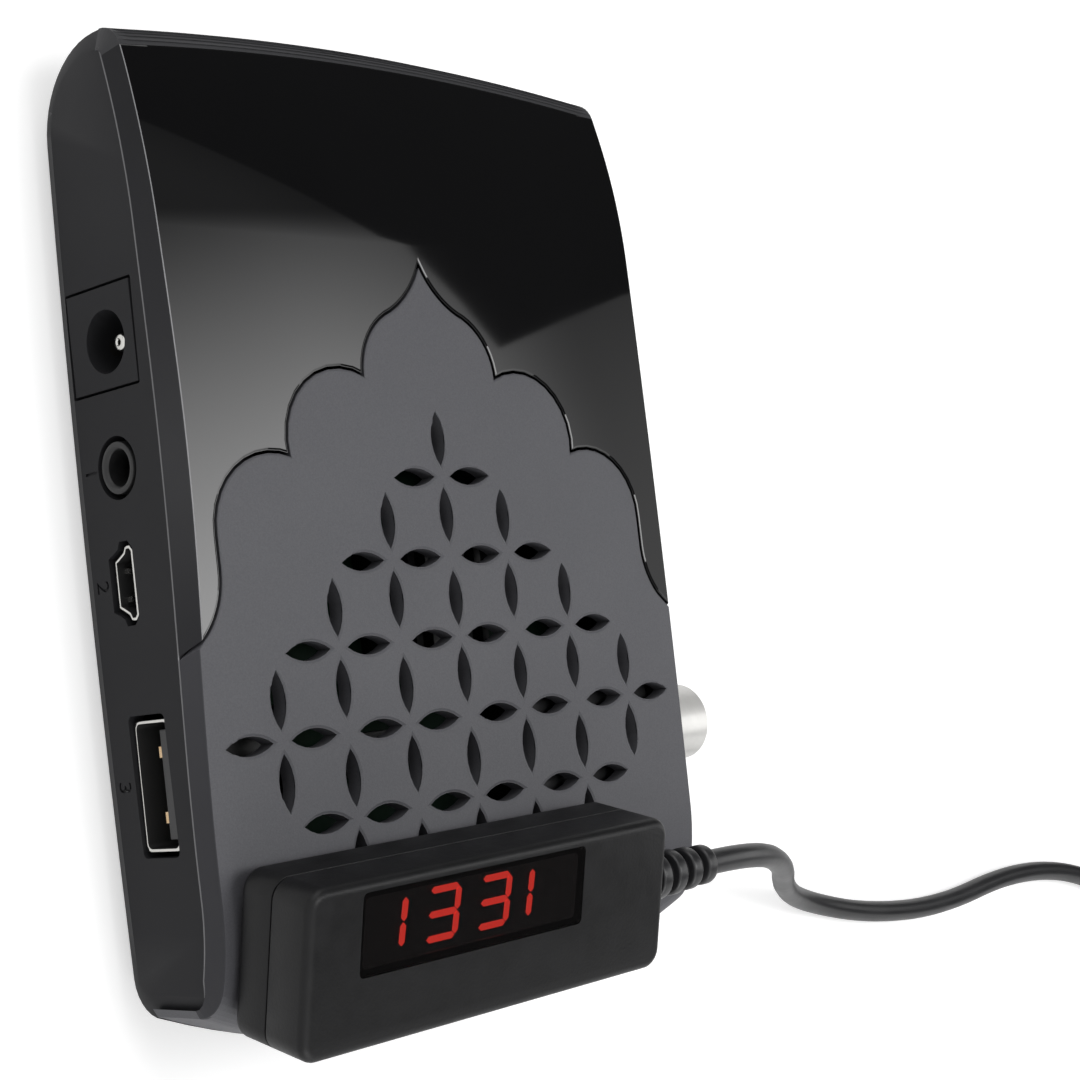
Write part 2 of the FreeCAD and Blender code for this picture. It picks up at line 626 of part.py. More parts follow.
def port_openings():
    """Openings in the two side walls, each a gap larger than its connector."""
    out = HALF_WIDTH + 2
    left = -(HALF_WIDTH - SIDE_WALL - 1)
    right = HALF_WIDTH - SIDE_WALL - 1
    dc_low = BOARD_TOP - DC_BASE_DROP
    mini_half = MINI_HALF_OUTLINE[3][0] + MINI_POCKET_SIDE
    mini_height = MINI_HALF_OUTLINE[-1][1]
    a_half = TYPE_A_WIDTH / 2 + TYPE_A_POCKET_SIDE
    v_half = VIDEO_WIDTH / 2 + PORT_GAP
    return [
        box(-out, left, DC_Y - DC_WIDTH / 2 - PORT_GAP, DC_Y + DC_WIDTH / 2 + PORT_GAP,
            dc_low - PORT_GAP, dc_low + DC_HEIGHT + PORT_GAP),
        rod(vec(-out, AV_Y, BOARD_TOP + AV_BODY_HEIGHT / 2), AV_NOSE_RADIUS + PORT_GAP, out + left, vec(1, 0, 0)),
        box(-out, left, MINI_Y - mini_half, MINI_Y + mini_half,
            BOARD_TOP - PORT_GAP / 2, BOARD_TOP + mini_height + MINI_POCKET_TOP),
        box(-out, left, TYPE_A_Y - a_half, TYPE_A_Y + a_half,
            BOARD_TOP - PORT_GAP / 2, BOARD_TOP + TYPE_A_HEIGHT + PORT_GAP / 2),
        rod(vec(right, F_Y, BOARD_TOP + F_AXIS_ABOVE_BOARD), F_ROOT_RADIUS + F_HOLE_CLEARANCE, out - right, vec(1, 0, 0)),
        box(right, out, VIDEO_Y - v_half, VIDEO_Y + v_half,
            BOARD_TOP - PORT_GAP / 2, BOARD_TOP + VIDEO_HEIGHT + PORT_GAP / 2),
    ]


def vent_slots():
    """Cooling slots in the floor under the main chip."""
    slots = []
    first = -VENT_PITCH * (VENT_ROWS - 1) / 2
    for row in range(VENT_ROWS):
        y = first + row * VENT_PITCH
        slots.append(round_box(-VENT_LENGTH / 2, VENT_LENGTH / 2, y - VENT_WIDTH / 2, y + VENT_WIDTH / 2,
                               UNDERSIDE - 1, FLOOR_TOP + 1, VENT_WIDTH / 2 - 0.02))
    return slots


def base_shell():
    """Floor, side walls, far wall and near rim, with posts, standoffs and openings."""
    body = outer_form().common(under_covers(0)).Solids[0]
    body = biggest(body.cut(cavity_form()))
    case_places = sum(case_screw_places(), [])
    posts = [rod(place + vec(0, 0, UNDERSIDE + FLOOR_WALL / 2), BOSS_RADIUS, FLOOR_WALL / 2 + POST_HEIGHT)
             for place in case_places]
    posts += [rod(place + vec(0, 0, UNDERSIDE + FLOOR_WALL / 2), STANDOFF_RADIUS, FLOOR_WALL / 2 + BOARD_LIFT)
              for place in board_screw_places()]
    body = joined(body, *posts)
    bores = screw_bores(case_places)
    bores += [rod(place + vec(0, 0, UNDERSIDE - 1), CASE_HEAD_RADIUS + SCREW_CLEARANCE, 1.2 + CASE_HEAD_HEIGHT)
              for place in case_places]
    bores += [rod(place + vec(0, 0, UNDERSIDE), CASE_SCREW_RADIUS + SCREW_CLEARANCE, FLOOR_WALL + 1)
              for place in case_places]
    bores += [rod(place + vec(0, 0, board_screw_tip() - SCREW_CLEARANCE), BOARD_SCREW_RADIUS + SCREW_CLEARANCE,
                  BOARD_SCREW_LENGTH) for place in board_screw_places()]
    recesses = [rod(place + vec(0, 0, UNDERSIDE - 1), FOOT_RADIUS + 0.1, 1 + FOOT_RECESS) for place in foot_places()]
    cuts = bores + recesses + port_openings() + vent_slots()
    for tool in cuts:
        body = body.cut(tool)
    return biggest(body)


# ---- circuit board ----
def circuit_board():
    """The board with its notch for the power inlet and four screw holes."""
    board = round_box(-BOARD_HALF, BOARD_HALF, BOARD_NEAR_Y, BOARD_FAR_Y, BOARD_BOTTOM, BOARD_TOP, 1.0)
    face = -side_face_x(DC_Y)
    notch = box(face, face + DC_DEPTH + 0.15, DC_Y - DC_WIDTH / 2 - 0.15, DC_Y + DC_WIDTH / 2 + 0.15,
                BOARD_BOTTOM - 1, BOARD_TOP + 1)
    holes = [rod(place + vec(0, 0, BOARD_BOTTOM - 1), BOARD_SCREW_RADIUS + SCREW_CLEARANCE, BOARD_THICKNESS + 2)
             for place in board_screw_places()]
    return board.cut(Part.makeCompound([notch] + holes)).Solids[0]


def main_chip():
    x, y = CHIP_PLACE
    half = CHIP_SIDE / 2
    return box(x - half, x + half, y - half, y + half, BOARD_TOP, BOARD_TOP + CHIP_HEIGHT)


def heat_sink():
    """A finned block on the main chip."""
    x, y = CHIP_PLACE
    half = CHIP_SIDE / 2
    low = BOARD_TOP + CHIP_HEIGHT
    block = box(x - half, x + half, y - half, y + half, low, low + SINK_HEIGHT)
    pitch = (CHIP_SIDE - SINK_FIN) / (SINK_FINS - 1)
    for fin in range(SINK_FINS - 1):
        start = x - half + SINK_FIN + fin * pitch
        block = block.cut(box(start, start + pitch - SINK_FIN, y - half - 1, y + half + 1,
                              low + SINK_BASE, low + SINK_HEIGHT + 1))
    return block


def on_board(places):
    """Places given by their distance inward of the board's far edge."""
    return [(x, BOARD_FAR_Y - inward) for x, inward in places]


def memory_chips():
    width, length, height = MEMORY_SIZE
    return Part.makeCompound([box(x - width / 2, x + width / 2, y - length / 2, y + length / 2,
                                  BOARD_TOP, BOARD_TOP + height) for x, y in on_board(MEMORY_PLACES)])


def capacitors():
    """Cans with a rolled groove near the foot and a bevelled rim."""
    cans = []
    for x, y in on_board(CAPACITOR_PLACES):
        foot = vec(x, y, BOARD_TOP)
        can = rod(foot, CAPACITOR_RADIUS, CAPACITOR_HEIGHT)
        can = can.makeChamfer(CAPACITOR_BEVEL, edges_where(
            can, lambda m: m.z > BOARD_TOP + CAPACITOR_HEIGHT - CAPACITOR_BEVEL))
        groove = rod(foot + vec(0, 0, CAPACITOR_FOOT), CAPACITOR_RADIUS + 1, CAPACITOR_GROOVE)
        groove = groove.cut(rod(foot, CAPACITOR_RADIUS - CAPACITOR_GROOVE, CAPACITOR_HEIGHT))
        cans.append(can.cut(groove))
    return Part.makeCompound(cans)


def inductors():
    half = INDUCTOR_SIDE / 2
    return Part.makeCompound([round_box(x - half, x + half, y - half, y + half,
                                        BOARD_TOP, BOARD_TOP + INDUCTOR_HEIGHT, 1.2)
                              for x, y in on_board(INDUCTOR_PLACES)])


def crystal():
    x, y = CRYSTAL_X, BOARD_NEAR_Y + CRYSTAL_INSET
    length, width, height = CRYSTAL_SIZE
    return round_box(x - length / 2, x + length / 2, y - width / 2, y + width / 2,
                     BOARD_TOP, BOARD_TOP + height, width / 2 - 0.05)


# ---- left side connectors ----
def dc_jack_parts():
    """Power inlet: block with a bore, a split centre pin and a side spring."""
    face = -side_face_x(DC_Y)
    low = BOARD_TOP - DC_BASE_DROP
    half = DC_WIDTH / 2
    block = box(face, face + DC_DEPTH, DC_Y - half, DC_Y + half, low, low + DC_HEIGHT)
    ear_x = face + SIDE_WALL + BOARD_MARGIN + 1.0
    ears = box(ear_x, ear_x + DC_EAR_LENGTH, DC_Y - half - DC_EAR, DC_Y + half + DC_EAR,
               BOARD_TOP, BOARD_TOP + DC_EAR_HEIGHT)
    axis_y = DC_Y + DC_BORE_OFFSET[0]
    axis_z = low + DC_HEIGHT / 2 + DC_BORE_OFFSET[1]
    bore = rod(vec(face - 1, axis_y, axis_z), DC_BORE_RADIUS, DC_BORE_DEPTH + 1, vec(1, 0, 0))
    slot = box(face + 1.2, face + DC_BORE_DEPTH, axis_y - 1, axis_y + 1, axis_z - DC_BORE_RADIUS - 0.7, axis_z)
    housing = joined(block, ears).cut(bore).cut(slot)
    pin_start = face + DC_PIN_RECESS
    pin = rod(vec(pin_start, axis_y, axis_z), DC_PIN_RADIUS, DC_BORE_DEPTH - DC_PIN_RECESS, vec(1, 0, 0))
    pin = pin.makeChamfer(DC_PIN_RADIUS * 0.35, edges_where(pin, lambda m: m.x < pin_start + 0.01))
    slit = box(pin_start - 1, pin_start + 4, axis_y - DC_PIN_RADIUS - 1, axis_y + DC_PIN_RADIUS + 1,
               axis_z - DC_PIN_SLIT / 2, axis_z + DC_PIN_SLIT / 2)
    pin = pin.cut(slit)
    foot = axis_z - DC_BORE_RADIUS - 0.7
    spring_end = face + DC_BORE_DEPTH
    spring_low = [vec(face + 1.6, axis_y - 0.8, foot), vec((face + 1.6 + spring_end) / 2, axis_y - 0.8, foot + 0.7),
                  vec(spring_end, axis_y - 0.8, foot)]
    spring_high = [point + vec(0, 0, CONTACT_THICKNESS) for point in spring_low]
    outline = Part.Wire([
        arc(*spring_low), line(spring_low[2], spring_high[2]),
        arc(*reversed(spring_high)), line(spring_high[0], spring_low[0])])
    spring = Part.Face(outline).extrude(vec(0, 1.6, 0))
    return housing.Solids[0], pin, spring


def av_jack_parts():
    """Round jack: body with a nose in the wall, and three terminals at its sides."""
    face = -side_face_x(AV_Y)
    axis_z = BOARD_TOP + AV_BODY_HEIGHT / 2
    start = face + AV_NOSE_LENGTH
    nose = rod(vec(face, AV_Y, axis_z), AV_NOSE_RADIUS, AV_NOSE_LENGTH + 1, vec(1, 0, 0))
    half = AV_BODY_WIDTH / 2
    block = box(start, start + AV_BODY_LENGTH, AV_Y - half, AV_Y + half, BOARD_TOP, BOARD_TOP + AV_BODY_HEIGHT)
    bore = rod(vec(face - 1, AV_Y, axis_z), AV_BORE_RADIUS, AV_NOSE_LENGTH + AV_BODY_LENGTH, vec(1, 0, 0))
    body = joined(block, nose).cut(bore).Solids[0]
    body = body.makeChamfer(0.25, edges_where(
        body, lambda m: abs(m.x - face) < 0.01 and abs(math.hypot(m.y - AV_Y, m.z - axis_z) - AV_BORE_RADIUS) < 0.01))
    terminals = []
    for side, share in ((-1, 0.3), (1, 0.45), (-1, 0.75)):
        x = start + AV_BODY_LENGTH * share
        y_near = AV_Y + side * half
        y_far = y_near + side * CONTACT_THICKNESS
        terminals.append(box(x, x + AV_TERMINAL_WIDTH, min(y_near, y_far), max(y_near, y_far),
                             BOARD_TOP, BOARD_TOP + AV_BODY_HEIGHT * 0.7))
    return body, Part.makeCompound(terminals)


def mini_outline(x, thickness):
    """The mini port's outline moved inward by a thickness, in an upright plane."""
    corners = [vec(x, MINI_Y + y, BOARD_TOP + z) for y, z in MINI_HALF_OUTLINE]
    corners += [vec(x, MINI_Y - y, BOARD_TOP + z) for y, z in reversed(MINI_HALF_OUTLINE)]
    face = polygon(corners)
    return face.makeOffset2D(-thickness) if thickness else face


def mini_port_parts():
    """Mini port: sheet metal shell and a tongue on a rear block."""
    start = -side_face_x(MINI_Y) + MINI_RECESS
    tube = mini_outline(start, 0).extrude(vec(MINI_LENGTH, 0, 0))
    hollow = mini_outline(start - 1, METAL_SHEET).extrude(vec(MINI_LENGTH + 2, 0, 0))
    shell = tube.cut(hollow).Solids[0]
    block_x = start + MINI_LENGTH * 0.55
    block = mini_outline(block_x, METAL_SHEET).extrude(vec(start + MINI_LENGTH - block_x, 0, 0))
    tongue_top = BOARD_TOP + MINI_HALF_OUTLINE[-1][1] - METAL_SHEET - 0.35
    tongue = box(start + 0.8, block_x, MINI_Y - MINI_TONGUE_HALF, MINI_Y + MINI_TONGUE_HALF,
                 tongue_top - MINI_TONGUE_THICKNESS, tongue_top)
    return shell, joined(block, tongue)


def type_a_port_parts():
    """Large data port: shell, tongue with its rear block, and four contacts under the tongue."""
    start = -side_face_x(TYPE_A_Y) + TYPE_A_RECESS
    half = TYPE_A_WIDTH / 2
    top = BOARD_TOP + TYPE_A_HEIGHT
    end = start + TYPE_A_LENGTH
    outside = box(start, end, TYPE_A_Y - half, TYPE_A_Y + half, BOARD_TOP, top)
    along = [e for e in outside.Edges if abs(e.tangentAt(e.FirstParameter).x) > 0.99]
    outside = outside.makeFillet(0.6, along)
    inner = box(start - 1, end + 1, TYPE_A_Y - half + METAL_SHEET, TYPE_A_Y + half - METAL_SHEET,
                BOARD_TOP + METAL_SHEET, top - METAL_SHEET)
    shell = outside.cut(inner).Solids[0]
    block = box(end - TYPE_A_BLOCK_LENGTH, end, TYPE_A_Y - half + METAL_SHEET, TYPE_A_Y + half - METAL_SHEET,
                BOARD_TOP + METAL_SHEET, top - METAL_SHEET)
    tongue_top = top - METAL_SHEET - TYPE_A_TONGUE_DROP
    tongue_low = tongue_top - TYPE_A_TONGUE_THICKNESS
    tongue_half = TYPE_A_TONGUE_WIDTH / 2
    tongue = box(start + 1.0, end - TYPE_A_BLOCK_LENGTH, TYPE_A_Y - tongue_half, TYPE_A_Y + tongue_half,
                 tongue_low, tongue_top)
    contacts = []
    first = TYPE_A_Y - TYPE_A_CONTACT_PITCH * (TYPE_A_CONTACTS - 1) / 2
    for number in range(TYPE_A_CONTACTS):
        y = first + number * TYPE_A_CONTACT_PITCH
        contacts.append(box(start + 1.6, end - TYPE_A_BLOCK_LENGTH, y - TYPE_A_CONTACT_WIDTH / 2,
                            y + TYPE_A_CONTACT_WIDTH / 2, tongue_low - CONTACT_THICKNESS, tongue_low))
    return shell, joined(block, tongue), Part.makeCompound(contacts)


# ---- right side connectors ----
def f_connector_parts():
    """Aerial connector: smooth barrel on the tuner can, insulator and centre contact."""
    start = tuner_right_x()
    centre = vec(start, F_Y, BOARD_TOP + F_AXIS_ABOVE_BOARD)
    along = vec(1, 0, 0)
    barrel = rod(centre, F_RADIUS, F_LENGTH, along)
    barrel = barrel.makeChamfer(0.3, edges_where(barrel, lambda m: m.x > start + F_LENGTH - 0.01))
    barrel = joined(barrel, rod(centre, F_ROOT_RADIUS, side_face_x(F_Y) + F_ROOT_PROUD - start, along))
    barrel = barrel.cut(rod(centre, F_BORE_RADIUS, F_LENGTH, along))
    insulator = rod(centre, F_BORE_RADIUS, F_LENGTH - F_INSULATOR_RECESS, along)
    insulator = insulator.cut(rod(centre, F_CONTACT_RADIUS, F_LENGTH, along))
    contact = rod(centre, F_CONTACT_RADIUS, F_LENGTH - F_INSULATOR_RECESS - 0.4, along)
    contact = contact.cut(rod(centre + vec(F_LENGTH / 3, 0, 0), F_CONTACT_BORE, F_LENGTH, along))
    return barrel, insulator, contact


def tuner_right_x():
    """Outer face of the tuner can, just past the board's edge."""
    return BOARD_HALF + 0.4


def tuner_parts():
    """Screening can with open foot, and its press-on lid."""
    right = tuner_right_x()
    left = right - TUNER_WIDTH
    top = BOARD_TOP + TUNER_HEIGHT
    outside = box(left, right, TUNER_NEAR_Y, TUNER_FAR_Y, BOARD_TOP, top)
    inside = box(left + TUNER_SHEET, right - TUNER_SHEET, TUNER_NEAR_Y + TUNER_SHEET, TUNER_FAR_Y - TUNER_SHEET,
                 BOARD_TOP - 1, top + 1)
    divider_x = (left + right) / 2
    divider = box(divider_x, divider_x + TUNER_SHEET, TUNER_NEAR_Y, TUNER_FAR_Y, BOARD_TOP, top)
    can = joined(outside.cut(inside), divider)
    lid = box(left - TUNER_SHEET, right + TUNER_SHEET, TUNER_NEAR_Y - TUNER_SHEET, TUNER_FAR_Y + TUNER_SHEET,
              top - TUNER_LID_SKIRT, top + TUNER_SHEET)
    lid = lid.cut(box(left, right, TUNER_NEAR_Y, TUNER_FAR_Y, top - TUNER_LID_SKIRT - 1, top))
    barrel_way = rod(vec(right, F_Y, BOARD_TOP + F_AXIS_ABOVE_BOARD), F_ROOT_RADIUS + PARTING_GAP, 1, vec(1, 0, 0))
    return can, lid.cut(barrel_way)


def video_outline(x, thickness):
    """Outline of the digital video socket with its two lower corners cut off."""
    half, corner = VIDEO_WIDTH / 2, VIDEO_CORNER
    points = [(-half, VIDEO_HEIGHT), (half, VIDEO_HEIGHT), (half, corner), (half - corner, 0),
              (corner - half, 0), (-half, corner)]
    face = polygon([vec(x, VIDEO_Y + y, BOARD_TOP + z) for y, z in points])
    return face.makeOffset2D(-thickness) if thickness else face


def video_socket_parts():
    """Digital video socket: shell, and a tongue on a rear block."""
    end = side_face_x(VIDEO_Y) - VIDEO_RECESS
    start = end - VIDEO_LENGTH
    shell = video_outline(start, 0).extrude(vec(VIDEO_LENGTH, 0, 0))
    shell = shell.cut(video_outline(start - 1, METAL_SHEET).extrude(vec(VIDEO_LENGTH + 2, 0, 0))).Solids[0]
    block_length = VIDEO_LENGTH * 0.4
    block = video_outline(start, METAL_SHEET).extrude(vec(block_length, 0, 0))
    middle_z = BOARD_TOP + VIDEO_HEIGHT / 2
    half, thick = VIDEO_TONGUE_WIDTH / 2, VIDEO_TONGUE_THICKNESS / 2
    tongue = box(start + block_length, end - 1, VIDEO_Y - half, VIDEO_Y + half, middle_z - thick, middle_z + thick)
    return shell, joined(block, tongue)


# ---- display unit, built lying at the origin: back at height 0, face up ----
def display_placement():
    """Rests the unit's back on the nose, tangent to it, balanced over the line of contact."""
    tilt = math.radians(DISPLAY_TILT)
    contact = vec(DISPLAY_X, NOSE_Y - NOSE_RADIUS * math.sin(tilt), TOP - NOSE_RADIUS * (1 - math.cos(tilt)))
    normal = vec(0, -math.sin(tilt), math.cos(tilt))
    uphill = vec(0, math.cos(tilt), math.sin(tilt))
    balance = (DISPLAY_DEPTH / 2 + DISPLAY_REST_GAP) * math.tan(tilt)
    origin = contact + normal * DISPLAY_REST_GAP + uphill * balance
    return FreeCAD.Placement(origin, FreeCAD.Rotation(vec(1, 0, 0), DISPLAY_TILT))


def display_block(inset, low, high):
    """A rounded block of the unit's outline, inset all round, between two depths."""
    half_x, half_y = DISPLAY_LENGTH / 2 - inset, DISPLAY_WIDTH / 2 - inset
    return round_box(-half_x, half_x, -half_y, half_y, low, high, max(DISPLAY_CORNER - inset, 0.5))


def relief_hole():
    return rod(vec(DISPLAY_LENGTH / 2 - DISPLAY_WALL - 1, 0, DISPLAY_DEPTH / 2),
               RELIEF_NECK_RADIUS + RELIEF_GAP, DISPLAY_WALL + 2, vec(1, 0, 0))


def window_box(shrink, low, high):
    x, y = WINDOW_CENTRE
    half_x, half_y = WINDOW_LENGTH / 2 - shrink, WINDOW_HEIGHT / 2 - shrink
    return round_box(x - half_x, x + half_x, y - half_y, y + half_y, low, high, WINDOW_CORNER)


def display_front_shell():
    """Front half with a stepped opening for the window."""
    low = DISPLAY_REAR_DEPTH + DISPLAY_SEAM
    shell = display_block(0, low, DISPLAY_DEPTH)
    shell = shell.makeFillet(DISPLAY_EDGE, edges_where(shell, lambda m: m.z > DISPLAY_DEPTH - 0.01))
    shell = shell.cut(display_block(DISPLAY_WALL, low - 1, DISPLAY_DEPTH - DISPLAY_WALL))
    shell = shell.cut(window_box(0, DISPLAY_DEPTH - WINDOW_THICKNESS, DISPLAY_DEPTH + 1))
    shell = shell.cut(window_box(WINDOW_LIP, 0, DISPLAY_DEPTH))
    return shell.cut(relief_hole()).Solids[0]


def display_rear_shell():
    """Rear half with four posts under the board."""
    shell = display_block(0, 0, DISPLAY_REAR_DEPTH)
    shell = shell.makeFillet(DISPLAY_EDGE, edges_where(shell, lambda m: m.z < 0.01))
    shell = shell.cut(display_block(DISPLAY_WALL, DISPLAY_WALL, DISPLAY_DEPTH))
    length, width = display_board_size()
    inset = DISPLAY_POST_RADIUS + 0.7
    posts = [rod(vec(x * (length / 2 - inset), y * (width / 2 - inset), DISPLAY_WALL),
                 DISPLAY_POST_RADIUS, DISPLAY_POST) for x in (-1, 1) for y in (-1, 1)]
    return joined(shell, *posts).cut(relief_hole()).Solids[0]


def display_window():
    return window_box(WINDOW_GAP, DISPLAY_DEPTH - WINDOW_THICKNESS, DISPLAY_DEPTH)


def display_board_size():
    """Length and width of the unit's board, a gap smaller than its shell."""
    along, across = DISPLAY_BOARD_GAP
    return DISPLAY_LENGTH - 2 * (DISPLAY_WALL + along), DISPLAY_WIDTH - 2 * (DISPLAY_WALL + across)


def display_board():
    """The unit's board, notched round the strain relief's flange."""
    length, width = display_board_size()
    low = DISPLAY_WALL + DISPLAY_POST
    board = box(-length / 2, length / 2, -width / 2, width / 2, low, display_board_top())
    gap = RELIEF_FLANGE_RADIUS + RELIEF_GAP
    notch_x = DISPLAY_LENGTH / 2 - DISPLAY_WALL - RELIEF_FLANGE - 2 * RELIEF_GAP
    return board.cut(box(notch_x, DISPLAY_LENGTH, -gap, gap, 0, DISPLAY_DEPTH)).Solids[0]


def display_board_top():
    return DISPLAY_WALL + DISPLAY_POST + DISPLAY_BOARD_THICKNESS


def digit_module():
    """The block that carries the four figures."""
    x, y = MODULE_CENTRE
    low = display_board_top()
    return box(x - MODULE_LENGTH / 2, x + MODULE_LENGTH / 2, y - MODULE_WIDTH / 2, y + MODULE_WIDTH / 2,
               low, low + MODULE_THICKNESS)


def segment(start, end, low):
    """One lit bar with pointed ends between two figure corners."""
    along = (end - start).normalize()
    across = vec(-along.y, along.x) * (SEGMENT_WIDTH / 2)
    start, end = start + along * SEGMENT_GAP, end - along * SEGMENT_GAP
    inset = along * (SEGMENT_WIDTH / 2)
    corners = [start, start + inset + across, end - inset + across, end, end - inset - across, start + inset - across]
    return polygon([corner + vec(0, 0, low) for corner in corners]).extrude(vec(0, 0, SEGMENT_RAISE))


def lit_segments():
    """The lit figures 1331; the last one stands in its left column."""
    low = display_board_top() + MODULE_THICKNESS
    half = DIGIT_HALF_HEIGHT - SEGMENT_WIDTH / 2
    middle_y = MODULE_CENTRE[1]
    bars = []
    for number, right in zip("133i", DIGIT_RIGHT):
        def node(side, level):
            x = right - SEGMENT_WIDTH / 2 - (DIGIT_WIDTH - SEGMENT_WIDTH) * side
            return vec(x + DIGIT_SLANT * half * level, middle_y + half * level)
        column = 1 if number == "i" else 0
        bars += [segment(node(column, 0), node(column, level), low) for level in (-1, 1)]
        if number == "3":
            bars += [segment(node(0, level), node(1, level), low) for level in (-1, 0, 1)]
    return Part.makeCompound(bars)


def infrared_eye():
    """Receiver for the remote control's light, behind the window's right end."""
    low = display_board_top()
    y = MODULE_CENTRE[1]
    block = box(EYE_X - EYE_RADIUS, EYE_X + EYE_RADIUS, y - EYE_RADIUS - 0.6, y + EYE_RADIUS + 0.6, low, low + 2.4)
    dome = Part.makeSphere(EYE_RADIUS * 0.8, vec(EYE_X, y, low + 2.4))
    return joined(block, dome)


def strain_relief():
    """Tapered sleeve with ribs, a neck in the wall and a flange inside it."""
    wall_in = DISPLAY_LENGTH / 2 - DISPLAY_WALL
    wall_out = DISPLAY_LENGTH / 2
    tip = wall_out + RELIEF_LENGTH
    axis_z = DISPLAY_DEPTH / 2
    flange_x = wall_in - RELIEF_GAP
    points = [(flange_x - RELIEF_FLANGE, 0), (flange_x - RELIEF_FLANGE, RELIEF_FLANGE_RADIUS),
              (flange_x, RELIEF_FLANGE_RADIUS), (flange_x, RELIEF_NECK_RADIUS),
              (wall_out + RELIEF_GAP, RELIEF_NECK_RADIUS)]
    pitch = RELIEF_LENGTH / (RELIEF_RIBS + 0.5)
    for rib in range(RELIEF_RIBS):
        start = wall_out + RELIEF_GAP + rib * pitch
        share = rib / (RELIEF_RIBS - 1)
        radius = RELIEF_START_RADIUS + (RELIEF_END_RADIUS - RELIEF_START_RADIUS) * share
        points += [(start, radius), (start + pitch * 0.62, radius)]
        if rib < RELIEF_RIBS - 1:
            points += [(start + pitch * 0.62, radius - RELIEF_GROOVE), (start + pitch, radius - RELIEF_GROOVE)]
    points += [(tip, RELIEF_END_RADIUS * 0.85), (tip, 0)]
    outline = polygon([vec(x, 0, axis_z + r) for x, r in points])
    return outline.revolve(vec(0, 0, axis_z), vec(1, 0, 0), 360)


# ---- cord ----
def relief_tip():
    """Tip of the strain relief in the receiver's frame."""
    return display_placement().multVec(vec(DISPLAY_LENGTH / 2 + RELIEF_LENGTH, 0, DISPLAY_DEPTH / 2))


def cord_path(points):
    """Straight runs joined by tangent arcs; prints each arc's radius."""
    edges = []
    start = points[0]
    radii = []
    for before, corner, after in zip(points, points[1:], points[2:]):
        run_in, run_out = corner - before, after - corner
        shorter = min(run_in.Length, run_out.Length)
        turn = run_in.getAngle(run_out)
        reach = ARC_SHARE * shorter
        radius = reach / math.tan(turn / 2)
        radii.append(round(radius, 1))
        back, ahead = run_in.normalize(), run_out.normalize()
        enter, leave = corner - back * reach, corner + ahead * reach
        inward = (ahead - back).normalize()
        via = corner + inward * (radius / math.cos(turn / 2) - radius)
        edges.append(line(start, enter))
        edges.append(arc(enter, via, leave))
        start = leave
    edges.append(line(start, points[-1]))
    print("cord radii", radii, "least", min(radii))
    return Part.Wire(edges)


def coil_geometry():
    """Centre of the coil, the direction the cord arrives in, and the ring's half widths."""
    layers = COIL_TURNS / COIL_COLUMNS
    half_band = COIL_COLUMNS * CORD_RADIUS
    last, before = vec(*CORD_ROUTE[-1]), vec(*CORD_ROUTE[-2])
    arrive = (last - before).normalize()
    side = vec(-arrive.y, arrive.x)
    outer_line = COIL_MIDDLE_RADIUS + half_band - CORD_RADIUS
    touch = last + arrive * (coil_entry(half_band) + COIL_LEAD)
    return touch + side * outer_line, touch, arrive, half_band, layers * 2 * CORD_RADIUS


def coil_entry(half_band):
    """How far from its point of touch the arriving cord is clear of the coil."""
    outside = COIL_MIDDLE_RADIUS + half_band
    return math.sqrt(outside ** 2 - (outside - 2 * CORD_RADIUS) ** 2)


def cord_coil():
    """Outer shape of the wound coil, with the stub where the cord runs in and the stub to the plug."""
    centre, touch, arrive, half_band, height = coil_geometry()
    base = vec(centre.x, centre.y, 0)
    ring = rod(base, COIL_MIDDLE_RADIUS + half_band, height)
    ring = ring.cut(rod(base, COIL_MIDDLE_RADIUS - half_band, height))
    ring = ring.makeChamfer(COIL_ROUND, ring.Edges)
    last = vec(*CORD_ROUTE[-1])
    lead = rod(last, CORD_RADIUS, (touch - last).Length, arrive)
    leave, direction = plug_start()
    tail_length = coil_entry(half_band) + PLUG_TAIL
    tail = rod(leave - direction * tail_length, CORD_RADIUS, tail_length, direction)
    return joined(ring, lead, tail)


def plug_start():
    """Where the cord's tail ends at the plug, and its direction."""
    centre, _, _, half_band, _ = coil_geometry()
    heading = vec(*PLUG_HEADING)
    outer_line = COIL_MIDDLE_RADIUS + half_band - CORD_RADIUS
    leave = vec(centre.x, centre.y, PLUG_SIZE[2] / 2) + vec(heading.y, -heading.x) * outer_line
    return leave + heading * (coil_entry(half_band) + PLUG_TAIL), heading


def plug_parts():
    """Moulded plug with a tapered neck, and its metal shell."""
    start, direction = plug_start()
    length, width, height = PLUG_SIZE
    neck = Part.makeCone(CORD_RADIUS + 0.4, CORD_RADIUS + 1.2, PLUG_NECK, vec(0, 0, 0), vec(1, 0, 0))
    block = box(PLUG_NECK, PLUG_NECK + length, -width / 2, width / 2, -height / 2, height / 2)
    block = block.makeFillet(PLUG_ROUND, block.Edges)
    body = joined(block, neck, rod(vec(PLUG_NECK - 0.5, 0, 0), CORD_RADIUS + 1.2, PLUG_ROUND + 1, vec(1, 0, 0)))
    end = PLUG_NECK + length
    fit = METAL_SHEET * 1.2
    outline = [vec(end, y, z - MINI_HALF_OUTLINE[-1][1] / 2) for y, z in MINI_HALF_OUTLINE]
    outline += [vec(end, -point.y, point.z) for point in reversed(outline)]
    shell = polygon(outline).makeOffset2D(-fit).extrude(vec(PLUG_SHELL_LENGTH, 0, 0))
    turn = FreeCAD.Rotation(vec(1, 0, 0), direction)
    placement = FreeCAD.Placement(start, turn)
    return body.transformed(placement.toMatrix()), shell.transformed(placement.toMatrix())


